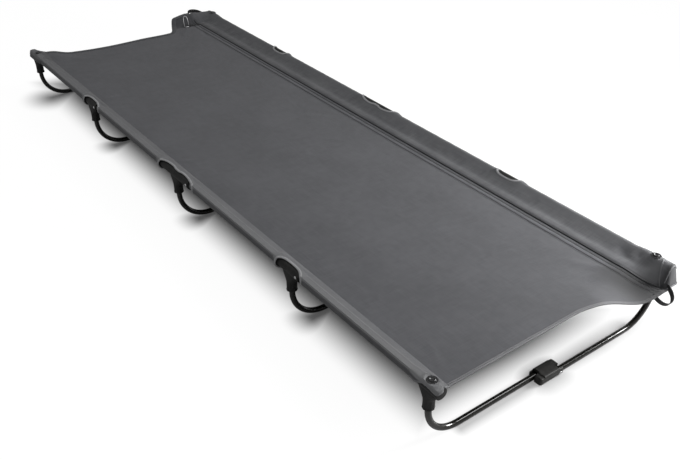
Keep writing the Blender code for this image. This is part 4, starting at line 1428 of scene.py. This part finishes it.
# Floor and light
# A plain white floor in a white studio. A near lamp past the foot on the far side and a broad one
# overhead light the bed. Away from the bed the floor glows white for the camera. Near the bed, and
# round each leg and the foot knuckle, it keeps its real shadow and is given a darker colour as
# well, a painted shadow with soft edges.

LAMPS = (("overhead_lamp", (-0.3, 0.1, 3.0), (0.0, 0.0, 0.0), 3.5, 24.0),
         ("high_foot_lamp", (1.4, -1.6, 2.4), (0.0, -0.7, 0.1), 0.8, 17.0),
         ("foot_lamp", (1.0, -1.2, 0.55), (0.1, -0.6, 0.14), 0.5, 25.0))
AMBIENT = 0.33
SHADOW_X = 0.205
SHADOW_FOOT = -0.822
SHADOW_FOOT_SHARPNESS = 1.4
SHADOW_HEAD = 0.99
SHADOW_FADE = 0.125
SHADOW_LIFT = 0.93
SHADOW_TONE = 0.45
LEG_SHADOW_X = 0.272
LEG_SHADOW_HALF = 0.005
LEG_SHADOW = (1.5, 0.0, 0.018, 0.0)
# The painted shadow of each end leg, where it isn't as LEG_SHADOW: how sharp it is, how much
# softer it gets towards the far side, how faint it is under the leg and how far it is moved to the
# far side.
END_LEG_SHADOWS = {1: (0.95, 0.0, 0.018, -0.025), 5: (2.3, 3.4, 0.045, 0.035)}
KNUCKLE_SHADOW_HALF = 0.014
KNUCKLE_SHADOW_SHARPNESS = 1.6

floor_finish = Finish("white_floor")
seen = floor_finish.node("LightPath", output=0)
place = floor_finish.place()
across, along = floor_finish.part(place, 0), floor_finish.part(place, 1)
past_foot = (SHADOW_FOOT - along) * SHADOW_FOOT_SHARPNESS
beyond = (across.size() - SHADOW_X).most(past_foot).most(along - SHADOW_HEAD)
for number in range(1, 6):
    beside = ((along - middle_of(f"knuckle_{number}")[1]).size() - LEG_SHADOW_HALF).most(0.0)
    sharp, softer, lift, aside = END_LEG_SHADOWS.get(number, LEG_SHADOW)
    past_leg = ((across - aside).size() - LEG_SHADOW_X).most(0.0)
    from_leg = (beside * beside + past_leg * past_leg).root()
    from_leg = from_leg * (sharp - across.least(POLE_X) * softer) + lift
    if number == 5:
        past_knuckle = (across.size() - KNUCKLE_SHADOW_HALF).most(0.0)
        from_knuckle = (beside * beside + past_knuckle * past_knuckle).root()
        from_leg = from_leg.least(from_knuckle * KNUCKLE_SHADOW_SHARPNESS + LEG_SHADOW[2])
    beyond = beyond.least(from_leg)
# Painted shadow: where clear is low the camera sees a darker floor colour and less glow.
clear = beyond.ramp(0.0, SHADOW_FADE) * SHADOW_LIFT
painted_shadow = floor_finish.tint(clear, (SHADOW_TONE,) * 3, (0.1,) * 3)
glow = floor_finish.tint(clear, (0.0, 0.0, 0.0), (1.0, 1.0, 1.0))
floor_finish.shade({"Base Color": floor_finish.tint(seen, (0.5, 0.5, 0.5), painted_shadow),
                    "Emission Color": floor_finish.tint(seen, (0.0, 0.0, 0.0), glow),
                    "Emission Strength": 1.0,
                    "Roughness": 1.0, "Specular IOR Level": 0.0})
floor_mesh = skin("floor", [[(-9, -9, 0), (9, -9, 0)], [(-9, 9, 0), (9, 9, 0)]])
floor = finished("studio_floor", floor_mesh, floor_finish)

world = bpy.data.worlds.new("white_studio")
world.use_nodes = True
bpy.context.scene.world = world
links, nodes = world.node_tree.links, world.node_tree.nodes
paths = nodes.new("ShaderNodeLightPath")
strength = nodes.new("ShaderNodeMapRange")
strength.inputs["To Min"].default_value = AMBIENT
strength.inputs["To Max"].default_value = 1.0
links.new(paths.outputs["Is Camera Ray"], strength.inputs["Value"])
background = nodes["Background"]
background.inputs["Color"].default_value = (1.0, 1.0, 1.0, 1.0)
links.new(strength.outputs["Result"], background.inputs["Strength"])

for name, place, aim, size, watts in LAMPS:
    lamp = bpy.data.lights.new(name, "AREA")
    lamp.shape = "DISK"
    lamp.size = size
    lamp.energy = watts
    lamp_object = bpy.data.objects.new(name, lamp)
    bpy.context.scene.collection.objects.link(lamp_object)
    towards = Vector(aim) - Vector(place)
    lamp_object.matrix_world = (Matrix.Translation(place)
                                @ towards.to_track_quat("-Z", "Y").to_matrix().to_4x4())


# Camera
# It stands past the foot of the bed on the near side and looks down on it.

CAMERA_AZIMUTH = math.radians(-36.95)
CAMERA_ELEVATION = math.radians(33.38)
CAMERA_ROLL = math.radians(0.18)
CAMERA_DISTANCE = 2.19
CAMERA_TARGET = Vector((-0.013, -0.259, 0.0))
camera_data = bpy.data.cameras.new("photo_camera")
camera_data.sensor_width = 36.0
camera_data.lens = 46.05
camera = bpy.data.objects.new("photo_camera", camera_data)
bpy.context.scene.collection.objects.link(camera)
back = Vector((math.sin(CAMERA_AZIMUTH) * math.cos(CAMERA_ELEVATION),
               -math.cos(CAMERA_AZIMUTH) * math.cos(CAMERA_ELEVATION),
               math.sin(CAMERA_ELEVATION)))
turn = (-back).to_track_quat("-Z", "Y").to_matrix().to_4x4()
camera.matrix_world = (Matrix.Translation(CAMERA_TARGET + back * CAMERA_DISTANCE) @ turn
                       @ Matrix.Rotation(CAMERA_ROLL, 4, "Z"))
bpy.context.scene.camera = camera
bpy.context.scene.view_settings.view_transform = "Standard"
